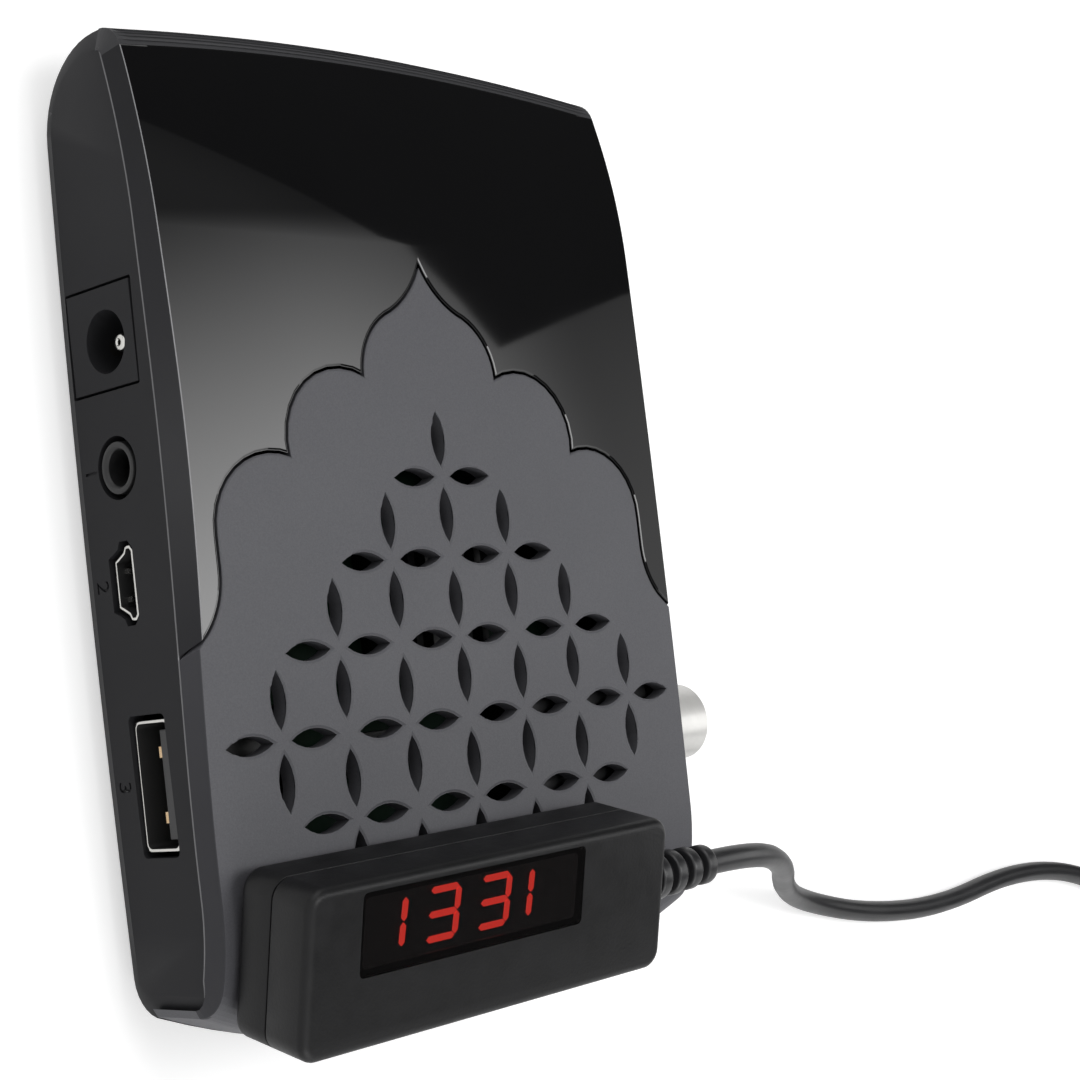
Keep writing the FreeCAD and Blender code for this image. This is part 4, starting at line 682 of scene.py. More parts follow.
# ---- housing ----
@dataclass(frozen=True)
class Form:
    """The housing's outer shape, and the way from its unrolled top to the real one."""

    half_length: float = 55.0
    half_width: float = 37.4
    side_bow: float = 0.9
    near_bow: float = 90.0
    far_bow: float = 325.0
    underside: float = 1.2
    top: float = 18.0
    nose_y: float = -35.5
    nose: float = 28.0
    tail_y: float = 31.5
    tail: float = 75.0
    near_round: float = 4.5
    far_round: float = 3.4
    skirt_thinning: float = 0.72
    far_parting: float = 12.35
    near_low: float = 4.0
    far_low: float = 9.5
    chamfer: float = 1.8
    sheet: float = 2.1
    rim: float = 5.2
    gap: float = 0.15
    wall: float = 1.8
    floor: float = 1.6

    def side(self, y: float) -> float:
        """Half width at a place along the side."""
        radius = (self.half_length**2 + self.side_bow**2) / (2 * self.side_bow)
        return self.half_width - radius + math.sqrt(radius**2 - y**2)

    def near(self, x: float) -> float:
        """Y of the bowed near end."""
        return self.near_bow - self.half_length - math.sqrt(self.near_bow**2 - x**2)

    def far(self, x: float) -> float:
        """Y of the bowed far end."""
        return self.half_length - self.far_bow + math.sqrt(self.far_bow**2 - x**2)

    def top_z(self, y: float, drop: float = 0.0) -> float:
        """Height of the top, or of the face a drop below it."""
        if y < self.nose_y:
            radius, run = self.nose - drop, self.nose_y - y
        elif y > self.tail_y:
            radius, run = self.tail - drop, y - self.tail_y
        else:
            return self.top - drop
        return self.top - drop - radius + math.sqrt(radius**2 - run**2)

    def unroll(self, y: float, depth: float = 0.0) -> float:
        """Distance along the top of the place above a Y, for a point at a depth."""
        if y < self.nose_y:
            turn = math.asin((self.nose_y - y) / (self.nose - depth))
            return self.nose_y - self.nose * turn
        if y > self.tail_y:
            turn = math.asin((y - self.tail_y) / (self.tail - depth))
            return self.tail_y + self.tail * turn
        return y

    def near_centre(self, x: float) -> tuple[float, float, float]:
        """Centre of the near round at an X, and the slope where it starts."""
        radius = self.nose - self.near_round
        y = self.near(x) + self.near_round
        turn = math.asin((self.nose_y - y) / radius)
        return y, self.top - self.nose + radius * math.cos(turn), turn

    def near_start(self, x: float) -> float:
        """Where the near round starts on the unrolled top."""
        return self.nose_y - self.nose * self.near_centre(x)[2]

    def far_centre(self, x: float) -> tuple[float, float, float]:
        """Centre of the far round at an X, and the slope where it starts."""
        radius = self.tail - self.far_round
        y = self.far(x) - self.far_round
        turn = math.asin((y - self.tail_y) / radius)
        return y, self.top - self.tail + radius * math.cos(turn), turn

    def far_start(self, x: float) -> float:
        """Where the far round starts on the unrolled top."""
        return self.tail_y + self.tail * self.far_centre(x)[2]

    def wrap(self, flat: Vector) -> Vector:
        """Takes a point of the unrolled cover to its place on the housing.

        One unit past the start of a round is the whole round, and at the near
        end the next unit is the near wall down to the rim.
        """
        x, along, out = flat
        start = self.near_start(x)
        if along < start:
            y, z, slope = self.near_centre(x)
            past = start - along
            share = min(past, 1.0)
            turn = slope + share * (math.pi / 2 - slope)
            thinned = self.skirt_thinning * share * share * (3 - 2 * share)
            reach = self.near_round + out * (1 - thinned)
            drop = max(past - 1.0, 0.0) * (z - self.rim - self.gap)
            return Vector((x, y - reach * math.sin(turn), z + reach * math.cos(turn) - drop))
        if along < self.nose_y:
            turn, reach = (self.nose_y - along) / self.nose, self.nose + out
            return Vector((x, self.nose_y - reach * math.sin(turn),
                           self.top - self.nose + reach * math.cos(turn)))
        if along > self.far_start(x) + TINY:
            y, z, slope = self.far_centre(x)
            end = math.acos(min((self.far_parting - z) / self.far_round, 1.0))
            turn = slope + (along - self.far_start(x)) * (end - slope)
            reach = self.far_round + out
            return Vector((x, y + reach * math.sin(turn), z + reach * math.cos(turn)))
        if along > self.tail_y:
            turn, reach = (along - self.tail_y) / self.tail, self.tail + out
            return Vector((x, self.tail_y + reach * math.sin(turn),
                           self.top - self.tail + reach * math.cos(turn)))
        return Vector((x, along, self.top + out))

    def top_normal(self, y: float) -> Vector:
        """Outward direction of the top at a Y."""
        if y < self.nose_y:
            lean = (y - self.nose_y) / self.nose
        elif y > self.tail_y:
            lean = (y - self.tail_y) / self.tail
        else:
            lean = 0.0
        return Vector((0, lean, math.sqrt(1 - lean**2)))


@dataclass(frozen=True)
class Shoulder:
    """The bevel along one long side, wider and higher towards the housing's middle."""

    inset: float
    inset_swell: float
    drop: float
    drop_swell: float
    middle: float = 8.0
    reach: float = 45.0

    def _swell(self, y: float) -> float:
        """One at the middle, nothing at the ends."""
        return math.cos(min(abs(y - self.middle) / self.reach, 1.0) * math.pi / 2) ** 2

    def upper(self, y: float) -> float:
        """How far the upper crease lies inside the side."""
        return self.inset + self.inset_swell * self._swell(y)

    def lower(self, y: float) -> float:
        """How far the lower crease lies below the top."""
        return self.drop - self.drop_swell * self._swell(y)


GLOSS_LEFT = Shoulder(0.7, 1.9, 2.4, 1.5)
ARCH_LEFT = Shoulder(0.5, 1.5, 2.4, 1.5)
BOTH_RIGHT = Shoulder(1.1, 0.0, 2.1, 0.0)


@dataclass(frozen=True)
class Arch:
    """Outline of the arch, from its apex to the right shoulder."""

    apex: tuple[float, float] = (0.0, 29.0)
    hollow: tuple[float, float] = (1.9, 26.2)
    waist: tuple[float, float] = (5.0, 23.8)
    top_lobe: tuple[float, float] = (8.6, 21.0)
    cusp_one: tuple[float, float] = (10.0, 16.5)
    middle_lobe: tuple[float, float] = (19.3, 15.0)
    cusp_two: tuple[float, float] = (21.5, 7.9)
    low_lobe: tuple[float, float] = (30.0, 5.8)
    spring: tuple[float, float] = (32.15, 0.0)
    flare_y: float = -3.4
    flare: float = 9.6
    clear: float = 2.5
    steps: int = 10

    def half(self, form: Form, reach: float = 0.0) -> list[Vector]:
        """The right half, ending on the housing's side, moved outward by a reach."""
        stops = [self.apex, self.hollow, self.waist, self.top_lobe, self.cusp_one,
                 self.middle_lobe, self.cusp_two, self.low_lobe, self.spring]
        stops = [Vector((*stop, 0)) for stop in stops]
        points = [stops[0]]
        for i in range(0, len(stops) - 2, 2):
            points += arc(*stops[i : i + 3], self.steps)[1:]
        centre = Vector((self.spring[0] + self.flare, self.flare_y, 0))
        quarter = [centre + self.flare * Vector((-math.cos(t), -math.sin(t), 0))
                   for t in (k * math.pi / 2 / (2 * self.steps) for k in range(2 * self.steps + 1))]
        points += quarter
        mirrored = [Vector((-p.x, p.y, 0)) for p in reversed(points[1:])]
        chain = grown(mirrored + points, reach) if reach else mirrored + points
        right = chain[len(mirrored) :]
        return [p for p in right if p.x < form.side(p.y) - self.clear]

    def foot(self, form: Form, inset: Callable[[float], float], reach: float) -> Vector:
        """Where the flare reaches a line an inset inside the housing's right side."""
        x, y = form.half_width - inset(self.flare_y), self.flare_y
        for _ in range(4):
            across = self.spring[0] + self.flare - x
            y = self.flare_y - math.sqrt((self.flare - reach) ** 2 - across**2)
            x = form.side(y) - inset(y)
        return Vector((x, y, 0))


@dataclass(frozen=True)
class Lattice:
    """The diamond of petal shaped vents."""

    pitch: float = 8.9
    top_y: float = 5.5
    reach: int = 3
    length: float = 6.14
    width: float = 2.05
    shift: float = 0.21
    rim: float = 0.28
    margin: float = 3.0
    steps: int = 7

    def petal(self) -> list[Vector]:
        """One pointed oval round the origin, its long way along X."""
        radius = (self.length**2 + self.width**2) / (4 * self.width)
        half = math.asin(self.length / 2 / radius)
        drop = radius - self.width / 2
        upper = []
        for step in range(self.steps):
            turn = -half + 2 * half * step / self.steps
            upper.append(Vector((radius * math.sin(turn), radius * math.cos(turn) - drop, 0)))
        return upper + [-point for point in upper]

    def outlines(self, form: Form) -> list[list[Vector]]:
        """Every petal's outline on the unrolled cover."""
        loops = []
        steps = range(-2 * self.reach - 1, 2 * self.reach + 2)
        for row_step in steps:
            for column_step in steps:
                odd = (row_step + column_step) % 2
                if not odd or abs(row_step) + abs(column_step) > 2 * self.reach + 1:
                    continue
                column, row = column_step / 2, self.reach + row_step / 2
                across = row == int(row)
                before = math.floor(column if across else row)
                other = int(row if across else column)
                shift = self.shift if (before + other) % 2 else -self.shift
                x = self.pitch * column + (shift if across else 0)
                y = self.top_y - self.pitch * row - (0 if across else shift)
                if y < self.margin + self.length / 2 - form.half_length:
                    continue
                turn = Matrix.Rotation(0 if across else math.pi / 2, 3, "Z")
                middle = Vector((x, form.unroll(y), 0))
                loops.append([middle + turn @ point for point in self.petal()])
        return loops


@dataclass
class Covers:
    """The sparked arch cover with its petal vents, and the polished cover round it."""

    form: Form = Form()
    arch: Arch = Arch()
    lattice: Lattice = Lattice()
    groove: float = 0.35
    rim_edge: float = 0.22
    eased: float = 0.06
    ease_share: float = 0.03
    rebate: float = 2.0
    layers: tuple[float, ...] = (0.0, 0.1, 0.6, 0.7, 2.1)
    round_steps: int = 7
    side_steps: int = 30
    end_steps: int = 40
    nose_turn: float = 2.5
    tail_turn: float = 0.9
    end_band: float = 0.3
    petal_band: float = 0.75
    true_within: float = 0.985

    def _station(self, shoulder: Shoulder, ring: int, y: float) -> tuple[float, float]:
        """Inset and depth of a cover's edge at a Y, for one ring counted from the top."""
        upper, lower = shoulder.upper(y), shoulder.lower(y)
        return (
            (upper + self.eased, 0.0),
            (upper * (1 - self.ease_share), lower * self.ease_share),
            (0.0, lower),
            (self.rebate, lower),
            (self.rebate, max(lower + ON_LINE, self.form.sheet)),
        )[ring]

    def _y(self, along: float) -> float:
        """Y of a place on the unrolled top."""
        return self.form.wrap(Vector((0, along, 0))).y

    def _ring(
        self,
        ring: int,
        left: Shoulder,
        reach: float,
        end: Callable[[float], float],
        end_y: float,
    ) -> list[Vector]:
        """One ring of a cover's outer edge, from the arch's right foot to its left one.

        Args:
            ring: Its number, counted from the top.
            left: Bevel along the left side.
            reach: How far the cover stays outside the arch.
            end: Unrolled place of the cover's end at an X.
            end_y: Where the sides meet the end.

        Returns:
            The ring's places on the unrolled cover.
        """
        form = self.form
        chains = []
        for sign, shoulder in ((1, BOTH_RIGHT), (-1, left)):
            foot = self.arch.foot(form, lambda y: self._station(shoulder, ring, y)[0], reach)
            chain = []
            for k in range(self.side_steps + 1):
                y = foot.y + (end_y - foot.y) * k / self.side_steps
                inset, depth = self._station(shoulder, ring, y)
                chain.append(Vector((sign * (form.side(y) - inset), form.unroll(y), -depth)))
            inset, depth = self._station(shoulder, ring, form.unroll(end_y))
            x = sign * (form.side(end_y) - inset)
            chain.append(Vector((x, end(x), -depth)))
            chains.append(chain)
        start, stop = chains[0][-1].x, chains[1][-1].x
        xs = [start + (stop - start) * k / self.end_steps for k in range(1, self.end_steps)]
        across = [Vector((x, end(x), -self.layers[ring])) for x in xs]
        return chains[0] + across + chains[1][::-1]

    def _slab(
        self,
        groove: Sequence[Vector],
        edge: Callable[[int], list[Vector]],
        holes: Sequence[list[Vector]] = (),
    ) -> bmesh.types.BMesh:
        """An unrolled cover.

        Args:
            groove: The right half of its edge along the arch.
            edge: Gives one ring of its outer edge.
            holes: Outlines of the openings in it.

        Returns:
            The closed plate, with the shoulders' bevels along its sides.
        """
        rim = edge(0)
        left = [Vector((-p.x, p.y, 0)) for p in reversed(groove[1:])]
        bm = bmesh.new()
        for loop in (rim + left + list(groove), *holes):
            add_loop(bm, loop)
        bmesh.ops.triangle_fill(bm, edges=bm.edges[:], use_beauty=True, use_dissolve=False)
        faces = bm.faces[:]
        for ring in range(1, len(self.layers)):
            fall = self.layers[ring - 1] - self.layers[ring]
            faces = push(bm, faces, Vector((0, 0, fall)))
            corners = {(round(v.co.x, 3), round(v.co.y, 3)): v for f in faces for v in f.verts}
            moved = edge(ring)
            for old, new in zip(rim, moved):
                corners[(round(old.x, 3), round(old.y, 3))].co = new
            rim = moved
        bmesh.ops.recalc_face_normals(bm, faces=bm.faces[:])
        return bm

    def _rims(self, bm: bmesh.types.BMesh) -> list[bmesh.types.BMEdge]:
        """Upper edges of the walls that stand square to the cover."""
        return [
            edge
            for edge in bm.edges
            if len(edge.link_faces) == 2
            and sum(v.co.z for v in edge.verts) > -TINY
            and min(abs(f.normal.z) for f in edge.link_faces) < LEVEL
            and max(f.normal.z for f in edge.link_faces) > FACING
        ]

    def _score(self, bm: bmesh.types.BMesh, ends: tuple[float, float], turn: float) -> None:
        """Cuts bend lines across the plate between two places."""
        count = max(int(abs(ends[1] - ends[0]) / turn), 1)
        for k in range(count + 1):
            along = ends[0] + (ends[1] - ends[0]) * k / count
            cut_line(bm, Vector((0, along, 0)), Vector((0, 1, 0)))

    def _bend(self, bm: bmesh.types.BMesh) -> None:
        """Bends the scored plate over the housing."""
        for vert in bm.verts:
            vert.co = self.form.wrap(vert.co)

    def arch_cover(self) -> bmesh.types.BMesh:
        """The near cover: plate, petals, shoulders, nose, round and near wall."""
        form = self.form
        groove = self.arch.half(form)
        end_y = self._y(form.near_start(form.side(form.half_length))) + form.chamfer
        bm = self._slab(
            groove,
            lambda ring: self._ring(ring, ARCH_LEFT, 0.0, form.near_start, end_y),
            self.lattice.outlines(form),
        )
        petals, edges = [], []
        for edge in self._rims(bm):
            middle = (edge.verts[0].co + edge.verts[1].co) / 2
            if abs(middle.y - form.near_start(middle.x)) > self.end_band:
                (petals if self._among_petals(middle) else edges).append(edge)
        round_edges(bm, petals, self.lattice.rim, 2)
        round_edges(bm, [e for e in edges if e.is_valid], self.rim_edge, 2)
        lowest = min(v.co.y for v in bm.verts)
        self._score(bm, (form.nose_y, lowest), form.nose * math.radians(self.nose_turn))
        ends = self._end_faces(bm, form.near_start)
        for _ in range(self.round_steps):
            ends = push(bm, ends, Vector((0, -1 / self.round_steps, 0)))
        push(bm, ends, Vector((0, -1, 0)))
        self._bend(bm)
        return bm

    def _end_faces(
        self, bm: bmesh.types.BMesh, end: Callable[[float], float]
    ) -> list[bmesh.types.BMFace]:
        """Faces that close the plate where a round starts."""
        return [
            f for f in bm.faces
            if f.normal.z < LEVEL and all(abs(v.co.y - end(v.co.x)) < ON_LINE for v in f.verts)
        ]

    def _among_petals(self, place: Vector) -> bool:
        """Whether a place lies within the diamond of petals."""
        lattice = self.lattice
        row = (lattice.top_y - self._y(place.y)) / lattice.pitch
        width = (lattice.reach + self.petal_band - abs(row - lattice.reach)) * lattice.pitch
        return place.y < lattice.top_y + lattice.length and abs(place.x) < width

    def gloss_cover(self) -> bmesh.types.BMesh:
        """The far cover: plate, shoulders, tail and far round."""
        form = self.form
        groove = self.arch.half(form, self.groove)
        end_y = self._y(form.far_start(form.side(form.half_length))) - form.chamfer
        bm = self._slab(
            groove,
            lambda ring: self._ring(ring, GLOSS_LEFT, self.groove, form.far_start, end_y),
        )
        round_edges(bm, self._rims(bm), self.rim_edge, 2)
        highest = max(v.co.y for v in bm.verts)
        self._score(bm, (form.tail_y, highest), form.tail * math.radians(self.tail_turn))
        bm.normal_update()
        ends = self._end_faces(bm, form.far_start)
        for _ in range(self.round_steps):
            ends = push(bm, ends, Vector((0, 1 / self.round_steps, 0)))
        # the far round takes slot three, lighter satin: painted reflection on the polished cover
        for face in bm.faces:
            middle = face.calc_center_median()
            if middle.y > form.far_start(middle.x) + ON_LINE:
                face.material_index = 3
        self._bend(bm)
        return bm

    def _dress_shoulders(self, bm: bmesh.types.BMesh, left: Shoulder, crest: int) -> None:
        """Gives the bevels slot one and their narrow upper edge the slot crest: on the polished
        cover satin charcoal, painted reflection, under a painted highlight line; on the arch cover
        its darker copy, painted shade.
        """
        bm.normal_update()
        for face in bm.faces:
            middle = face.calc_center_median()
            inside = self.form.side(middle.y) - abs(middle.x)
            level = abs(face.normal.x) < LEVEL or face.normal.z < LEVEL / 2
            upper = (left if middle.x < 0 else BOTH_RIGHT).upper(middle.y)
            if face.material_index or inside > upper + self.eased or level:
                continue
            face.material_index = crest if inside > upper * (1 - self.ease_share) else 1

    def true_normals(self, made: bpy.types.Object, bench: Bench) -> None:
        """Gives the faces of the top the exact normals of the form."""
        mesh = made.data
        corners = [Vector(normal.vector) for normal in mesh.corner_normals]
        back = bench.to_row().inverted()
        for face in mesh.polygons:
            for loop in face.loop_indices:
                place = back @ mesh.vertices[mesh.loops[loop].vertex_index].co
                if abs(place.z - self.form.top_z(place.y)) > ON_LINE:
                    continue
                normal = self.form.top_normal(place.y)
                if normal.dot(face.normal) > self.true_within:
                    corners[loop] = normal
        mesh.normals_split_custom_set(corners)

    def build(self, bench: Bench) -> None:
        """Makes both covers."""
        for bm, name, finish, slot in (
            (self.arch_cover(), "arch_cover_shell", SPARKED_ABS, "arch_matte"),
            (self.gloss_cover(), "gloss_cover_shell", POLISHED_ABS, "gloss_black"),
        ):
            stood = name.removesuffix("_shell")
            # bevel and crest slots: polished cover gets painted reflection and a painted highlight
            # line, arch cover painted shade
            left, crest = (GLOSS_LEFT, 2) if finish is POLISHED_ABS else (ARCH_LEFT, 1)
            self._dress_shoulders(bm, left, crest)
            made = bench.piece(bm, name, finish, Body.RECEIVER, [stood], crease=18.0)
            side = SATIN_ABS if finish is POLISHED_ABS else SHADED_ARCH_BEVEL
            for second in (side, EDGE_HIGHLIGHT_ABS, FAR_ROUND_REFLECTION):
                made.data.materials.append(second.build())
            self.true_normals(made, bench)


@dataclass
class Base:
    """The lower housing: floor, walls with the ports' openings, posts and vents."""

    form: Form = Form()
    steps: int = 24
    side_steps: int = 14
    band: tuple[float, float] = (1.0, 2.2)
    line_width: float = 0.1
    case_screws: tuple[tuple[float, float], ...] = (
        (-31.0, -42.0), (31.0, -42.0), (-31.0, 39.5), (31.0, 39.5),
    )
    board_screws: tuple[tuple[float, float], ...] = (
        (-18.0, -34.2), (31.0, -11.0), (-18.0, 32.0), (31.0, 32.0),
    )
    feet: tuple[tuple[float, float], ...] = ((-27, -33), (27, -33), (-27, 31), (27, 31))
    # rods under the screws and feet: start height, radius and length
    case_bore: tuple[float, float, float] = (2.4, 1.2, 8.0)
    board_bore: tuple[float, float, float] = (2.35, 1.1, 6.0)
    case_head: tuple[float, float, float] = (0.2, 2.2, 2.4)
    case_post: tuple[float, float, float] = (2.0, 2.8, 3.0)
    board_post: tuple[float, float, float] = (2.0, 2.6, 3.45)
    foot_recess: tuple[float, float, float] = (0.2, 4.1, 1.3)
    # windows in the side walls: low and high corner in Y and Z, and their corners' radius
    inlet_window: tuple[tuple[float, float], tuple[float, float], float] = (
        (16.0, 3.4), (27.0, 14.8), 0.25,
    )
    data_window: tuple[tuple[float, float], tuple[float, float], float] = (
        (-31.25, 6.9), (-16.85, 12.9), 0.6,
    )
    video_window: tuple[tuple[float, float], tuple[float, float], float] = (
        (0.2, 6.9), (15.8, 12.8), 0.4,
    )
    # round holes in the side walls: middle in Y and Z, and radius
    jack_hole: tuple[float, float, float] = (8.2, 9.6, 3.25)
    aerial_hole: tuple[float, float, float] = (-25.9, 9.0, 5.6)
    mini_gap: float = 0.5
    vents: int = 9
    vent_pitch: float = 4.2
    vent: tuple[float, float] = (26.0, 1.6)
    vent_heights: tuple[float, float] = (0.2, 3.8)
    cavity_rounds: tuple[float, float] = (2.4, 7.9)
    hull_top: float = 25.0
    cavity_top: float = 30.0
    over: float = 40.0
    beyond: float = 5.0
    past_side: float = 2.0
    corner_steps: tuple[int, int] = (7, 12)
    turn_steps: int = 8
    line_steps: int = 110
    far_step: float = 51.6
    # normal heights between which the upper edges' facets take the painted highlight line
    highlight_lean: tuple[float, float] = (0.6, 0.8)
    label_height: float = 2.9
    label_depth: float = 0.2
    label_z: float = 5.0
    labels: tuple[tuple[str, float], ...] = (("1", 8.2), ("2", -3.5), ("3", -24.0))

    def _outline(
        self, x: float, inset: float, shrink: float, low: float, high: float,
        rounds: tuple[float, float],
    ) -> list[Vector]:
        """Side view of the body at an X, shrunk all round by a distance."""
        form = self.form
        at = x * form.side(form.half_length) / form.half_width
        near, far = form.near(at) + inset + shrink, form.far(at) - inset - shrink
        near_low, far_low = rounds[0] - shrink, rounds[1] - shrink
        near_steps, far_steps = self.corner_steps
        points = [(near, high)]
        for k in range(near_steps + 1):
            turn = k / near_steps * math.pi / 2
            points.append((near + near_low * (1 - math.cos(turn)),
                           low + shrink + near_low * (1 - math.sin(turn))))
        for k in range(far_steps + 1):
            turn = k / far_steps * math.pi / 2
            points.append((far - far_low * (1 - math.sin(turn)),
                           low + shrink + far_low * (1 - math.cos(turn))))
        return [Vector((x, y, z)) for y, z in [*points, (far, high)]]

    def hull(
        self, inset: float, low: float, high: float, rounds: tuple[float, float],
        band: Optional[tuple[float, float]] = None,
    ) -> bmesh.types.BMesh:
        """The housing's body between two heights.

        Args:
            inset: How far inside the outer faces it is.
            low: Its underside.
            high: Its upper end.
            rounds: Radii along its lower near and far edges.
            band: How far the bevel round its two side faces reaches over the
                body and over the side face.

        Returns:
            The closed form.
        """
        form = self.form
        half = form.half_width - inset
        inner = half - (band[0] if band else 0.0)
        xs = [-inner + 2 * inner * k / self.steps for k in range(self.steps + 1)]
        rings = [self._outline(x, inset, 0.0, low, high, rounds) for x in xs]
        if band:
            for x, place in ((-half, 0), (half, len(rings) + 1)):
                rings.insert(place, self._outline(x, inset, band[1], low, high, rounds))
        bm = loft(rings)
        reach = form.half_length - 1
        for k in range(self.side_steps + 1):
            y = -reach + 2 * reach * k / self.side_steps
            cut_line(bm, Vector((0, y, 0)), Vector((0, 1, 0)))
        for vert in bm.verts:
            vert.co.x *= (form.side(vert.co.y) - inset) / half
        return bm

    def _parting(self, x: float, shoulder: Shoulder, reach: float) -> list[tuple[float, float]]:
        """The line in Y and Z that the covers' edge follows at an X, from the near end."""
        form = self.form
        corner = math.copysign(min(abs(x), form.side(form.half_length)), x)
        start, steps, end = form.near_start(corner), self.turn_steps, self.far_step
        round_y = form.wrap(Vector((0, start, 0))).y
        depth = shoulder.lower(round_y) + form.gap
        turned_down = [
            form.wrap(Vector((corner, start - 1 + k / steps, -depth))) for k in range(steps + 1)
        ]
        line = [(-reach, form.rim), (turned_down[0].y, form.rim)]
        line += [(place.y, place.z) for place in turned_down]
        first = turned_down[-1].y
        for k in range(1, self.line_steps + 1):
            y = first + (end - first) * k / self.line_steps
            line.append((y, form.top_z(y, shoulder.lower(y) + form.gap)))
        low = form.far_parting - form.gap
        return [*line, (end, low), (reach, low)]

    def above(self) -> bmesh.types.BMesh:
        """All that lies over the base, leaving a thin facet along the side walls' upper edges for
        the painted highlight line.
        """
        form = self.form
        reach, inner = form.half_length + self.beyond, form.half_width - self.beyond
        outer, steps = form.half_width + self.past_side, self.turn_steps
        places = [(-outer, GLOSS_LEFT), (-form.half_width, GLOSS_LEFT)]
        places += [(inner * (k / steps - 1), GLOSS_LEFT) for k in range(steps + 1)]
        places += [(inner * k / steps, BOTH_RIGHT) for k in range(1, steps + 1)]
        places += [(form.half_width, BOTH_RIGHT), (outer, BOTH_RIGHT)]
        rings = []
        for x, shoulder in places:
            ring = []
            for y, z in self._parting(x, shoulder, reach):
                crest = form.side(max(min(y, form.half_length), -form.half_length))
                crest -= self.line_width
                at = math.copysign(crest, x) if abs(x) == form.half_width else x
                ring.append(Vector((at, y, z - max(abs(at) - crest, 0.0))))
            end_x = ring[-1].x
            rings.append([*ring, *(Vector((end_x, y, self.over)) for y in (reach, -reach))])
        return loft(rings)

    def openings(self) -> bmesh.types.BMesh:
        """The ports' openings in both side walls, the vents and the foot recesses."""
        wall = self.form.half_width - self.form.wall - 1
        out = self.form.half_width + self.past_side
        forms = [
            self._window(self.inlet_window, -out, -wall, 3),
            self._hole(self.jack_hole, -out, out - wall),
            upright(MiniPort.ring(self.mini_gap), -out, out - wall),
            self._window(self.data_window, -out, -wall, 4),
            self._hole(self.aerial_hole, wall, out - wall),
            self._window(self.video_window, wall, out, 4),
        ]
        length, width = self.vent
        low, high = self.vent_heights
        first = -self.vent_pitch * (self.vents - 1) / 2
        for row in range(self.vents):
            y = first + row * self.vent_pitch
            corners = (-length / 2, y - width / 2, low), (length / 2, y + width / 2, high)
            forms.append(soft_block(*corners, 2, width / 2 - ON_LINE, 4))
        return gathered(forms + self._rods(self.feet, self.foot_recess, 48))

    def _window(
        self,
        window: tuple[tuple[float, float], tuple[float, float], float],
        start: float,
        end: float,
        segments: int,
    ) -> bmesh.types.BMesh:
        """The cutter of a window in a side wall, between two places along X."""
        low, high, corner = window
        return soft_block((start, *low), (end, *high), 0, corner, segments)

    def _hole(
        self, hole: tuple[float, float, float], start: float, length: float
    ) -> bmesh.types.BMesh:
        """The cutter of a round hole in a side wall."""
        y, z, radius = hole
        return rod((start, y, z), radius, length, "X", 48)

    def _rods(
        self,
        places: Sequence[tuple[float, float]],
        size: tuple[float, float, float],
        sides: int = 32,
    ) -> list[bmesh.types.BMesh]:
        """Upright rods of one start height, radius and length."""
        low, radius, length = size
        return [rod((x, y, low), radius, length, sides=sides) for x, y in places]

    def bores(self) -> bmesh.types.BMesh:
        """Screw holes of the case and the circuit board."""
        return gathered(self._rods(self.case_screws, self.case_bore)
                        + self._rods(self.board_screws, self.board_bore))

    def heads(self) -> bmesh.types.BMesh:
        """The case screws' sunk heads."""
        return gathered(self._rods(self.case_screws, self.case_head))

    def posts(self) -> bmesh.types.BMesh:
        """Posts round the case screws and under the circuit board."""
        return gathered(self._rods(self.case_screws, self.case_post)
                        + self._rods(self.board_screws, self.board_post))

    def numbers(self) -> bmesh.types.BMesh:
        """Plain numbers beside three ports, as the cutter that engraves them."""
        forms = []
        for text, y in self.labels:
            curve = bpy.data.curves.new("number", "FONT")
            curve.body, curve.size, curve.extrude = text, self.label_height, 1.0
            curve.align_x, curve.align_y = "CENTER", "CENTER"
            helper = bpy.data.objects.new("number", curve)
            mesh = bpy.data.meshes.new_from_object(helper)
            bm = bmesh.new()
            bm.from_mesh(mesh)
            bmesh.ops.remove_doubles(bm, verts=bm.verts[:], dist=TINY)
            x = 1.0 - self.label_depth + self.form.side(y)
            turn = Matrix(((0, 0, -1, -x), (-1, 0, 0, y), (0, 1, 0, self.label_z), (0, 0, 0, 1)))
            bmesh.ops.transform(bm, matrix=turn, verts=bm.verts[:])
            forms.append(bm)
            bpy.data.objects.remove(helper)
            bpy.data.curves.remove(curve)
            bpy.data.meshes.remove(mesh)
        return gathered(forms)

    def build(self, bench: Bench) -> None:
        """Makes the base."""
        form = self.form
        rounds = (form.near_low, form.far_low)
        hull = self.hull(0.0, form.underside, self.hull_top, rounds, self.band)
        floor = form.underside + form.floor
        cavity = self.hull(form.wall, floor, self.cavity_top, self.cavity_rounds)
        tools = [
            (self.above(), Carve.CUT),
            (cavity, Carve.CUT),
            (self.posts(), Carve.JOIN),
            (self.bores(), Carve.CUT),
            (self.heads(), Carve.CUT),
            (self.openings(), Carve.CUT),
            (self.numbers(), Carve.CUT),
        ]
        bm = carved(hull, tools)
        bm.normal_update()
        # thin facets along the side walls' upper edges get the light grey line: painted highlight
        flat, steep = self.highlight_lean
        for face in bm.faces:
            middle = face.calc_center_median()
            at_side = abs(form.side(middle.y) - abs(middle.x)) < self.line_width
            if at_side and flat < face.normal.z < steep and middle.z > form.rim:
                face.material_index = 1
        made = bench.piece(
            bm, "base_housing", SATIN_ABS, Body.RECEIVER, ["base_shell"],
            crease=24.0,
        )
        made.data.materials.append(EDGE_HIGHLIGHT_ABS.build())


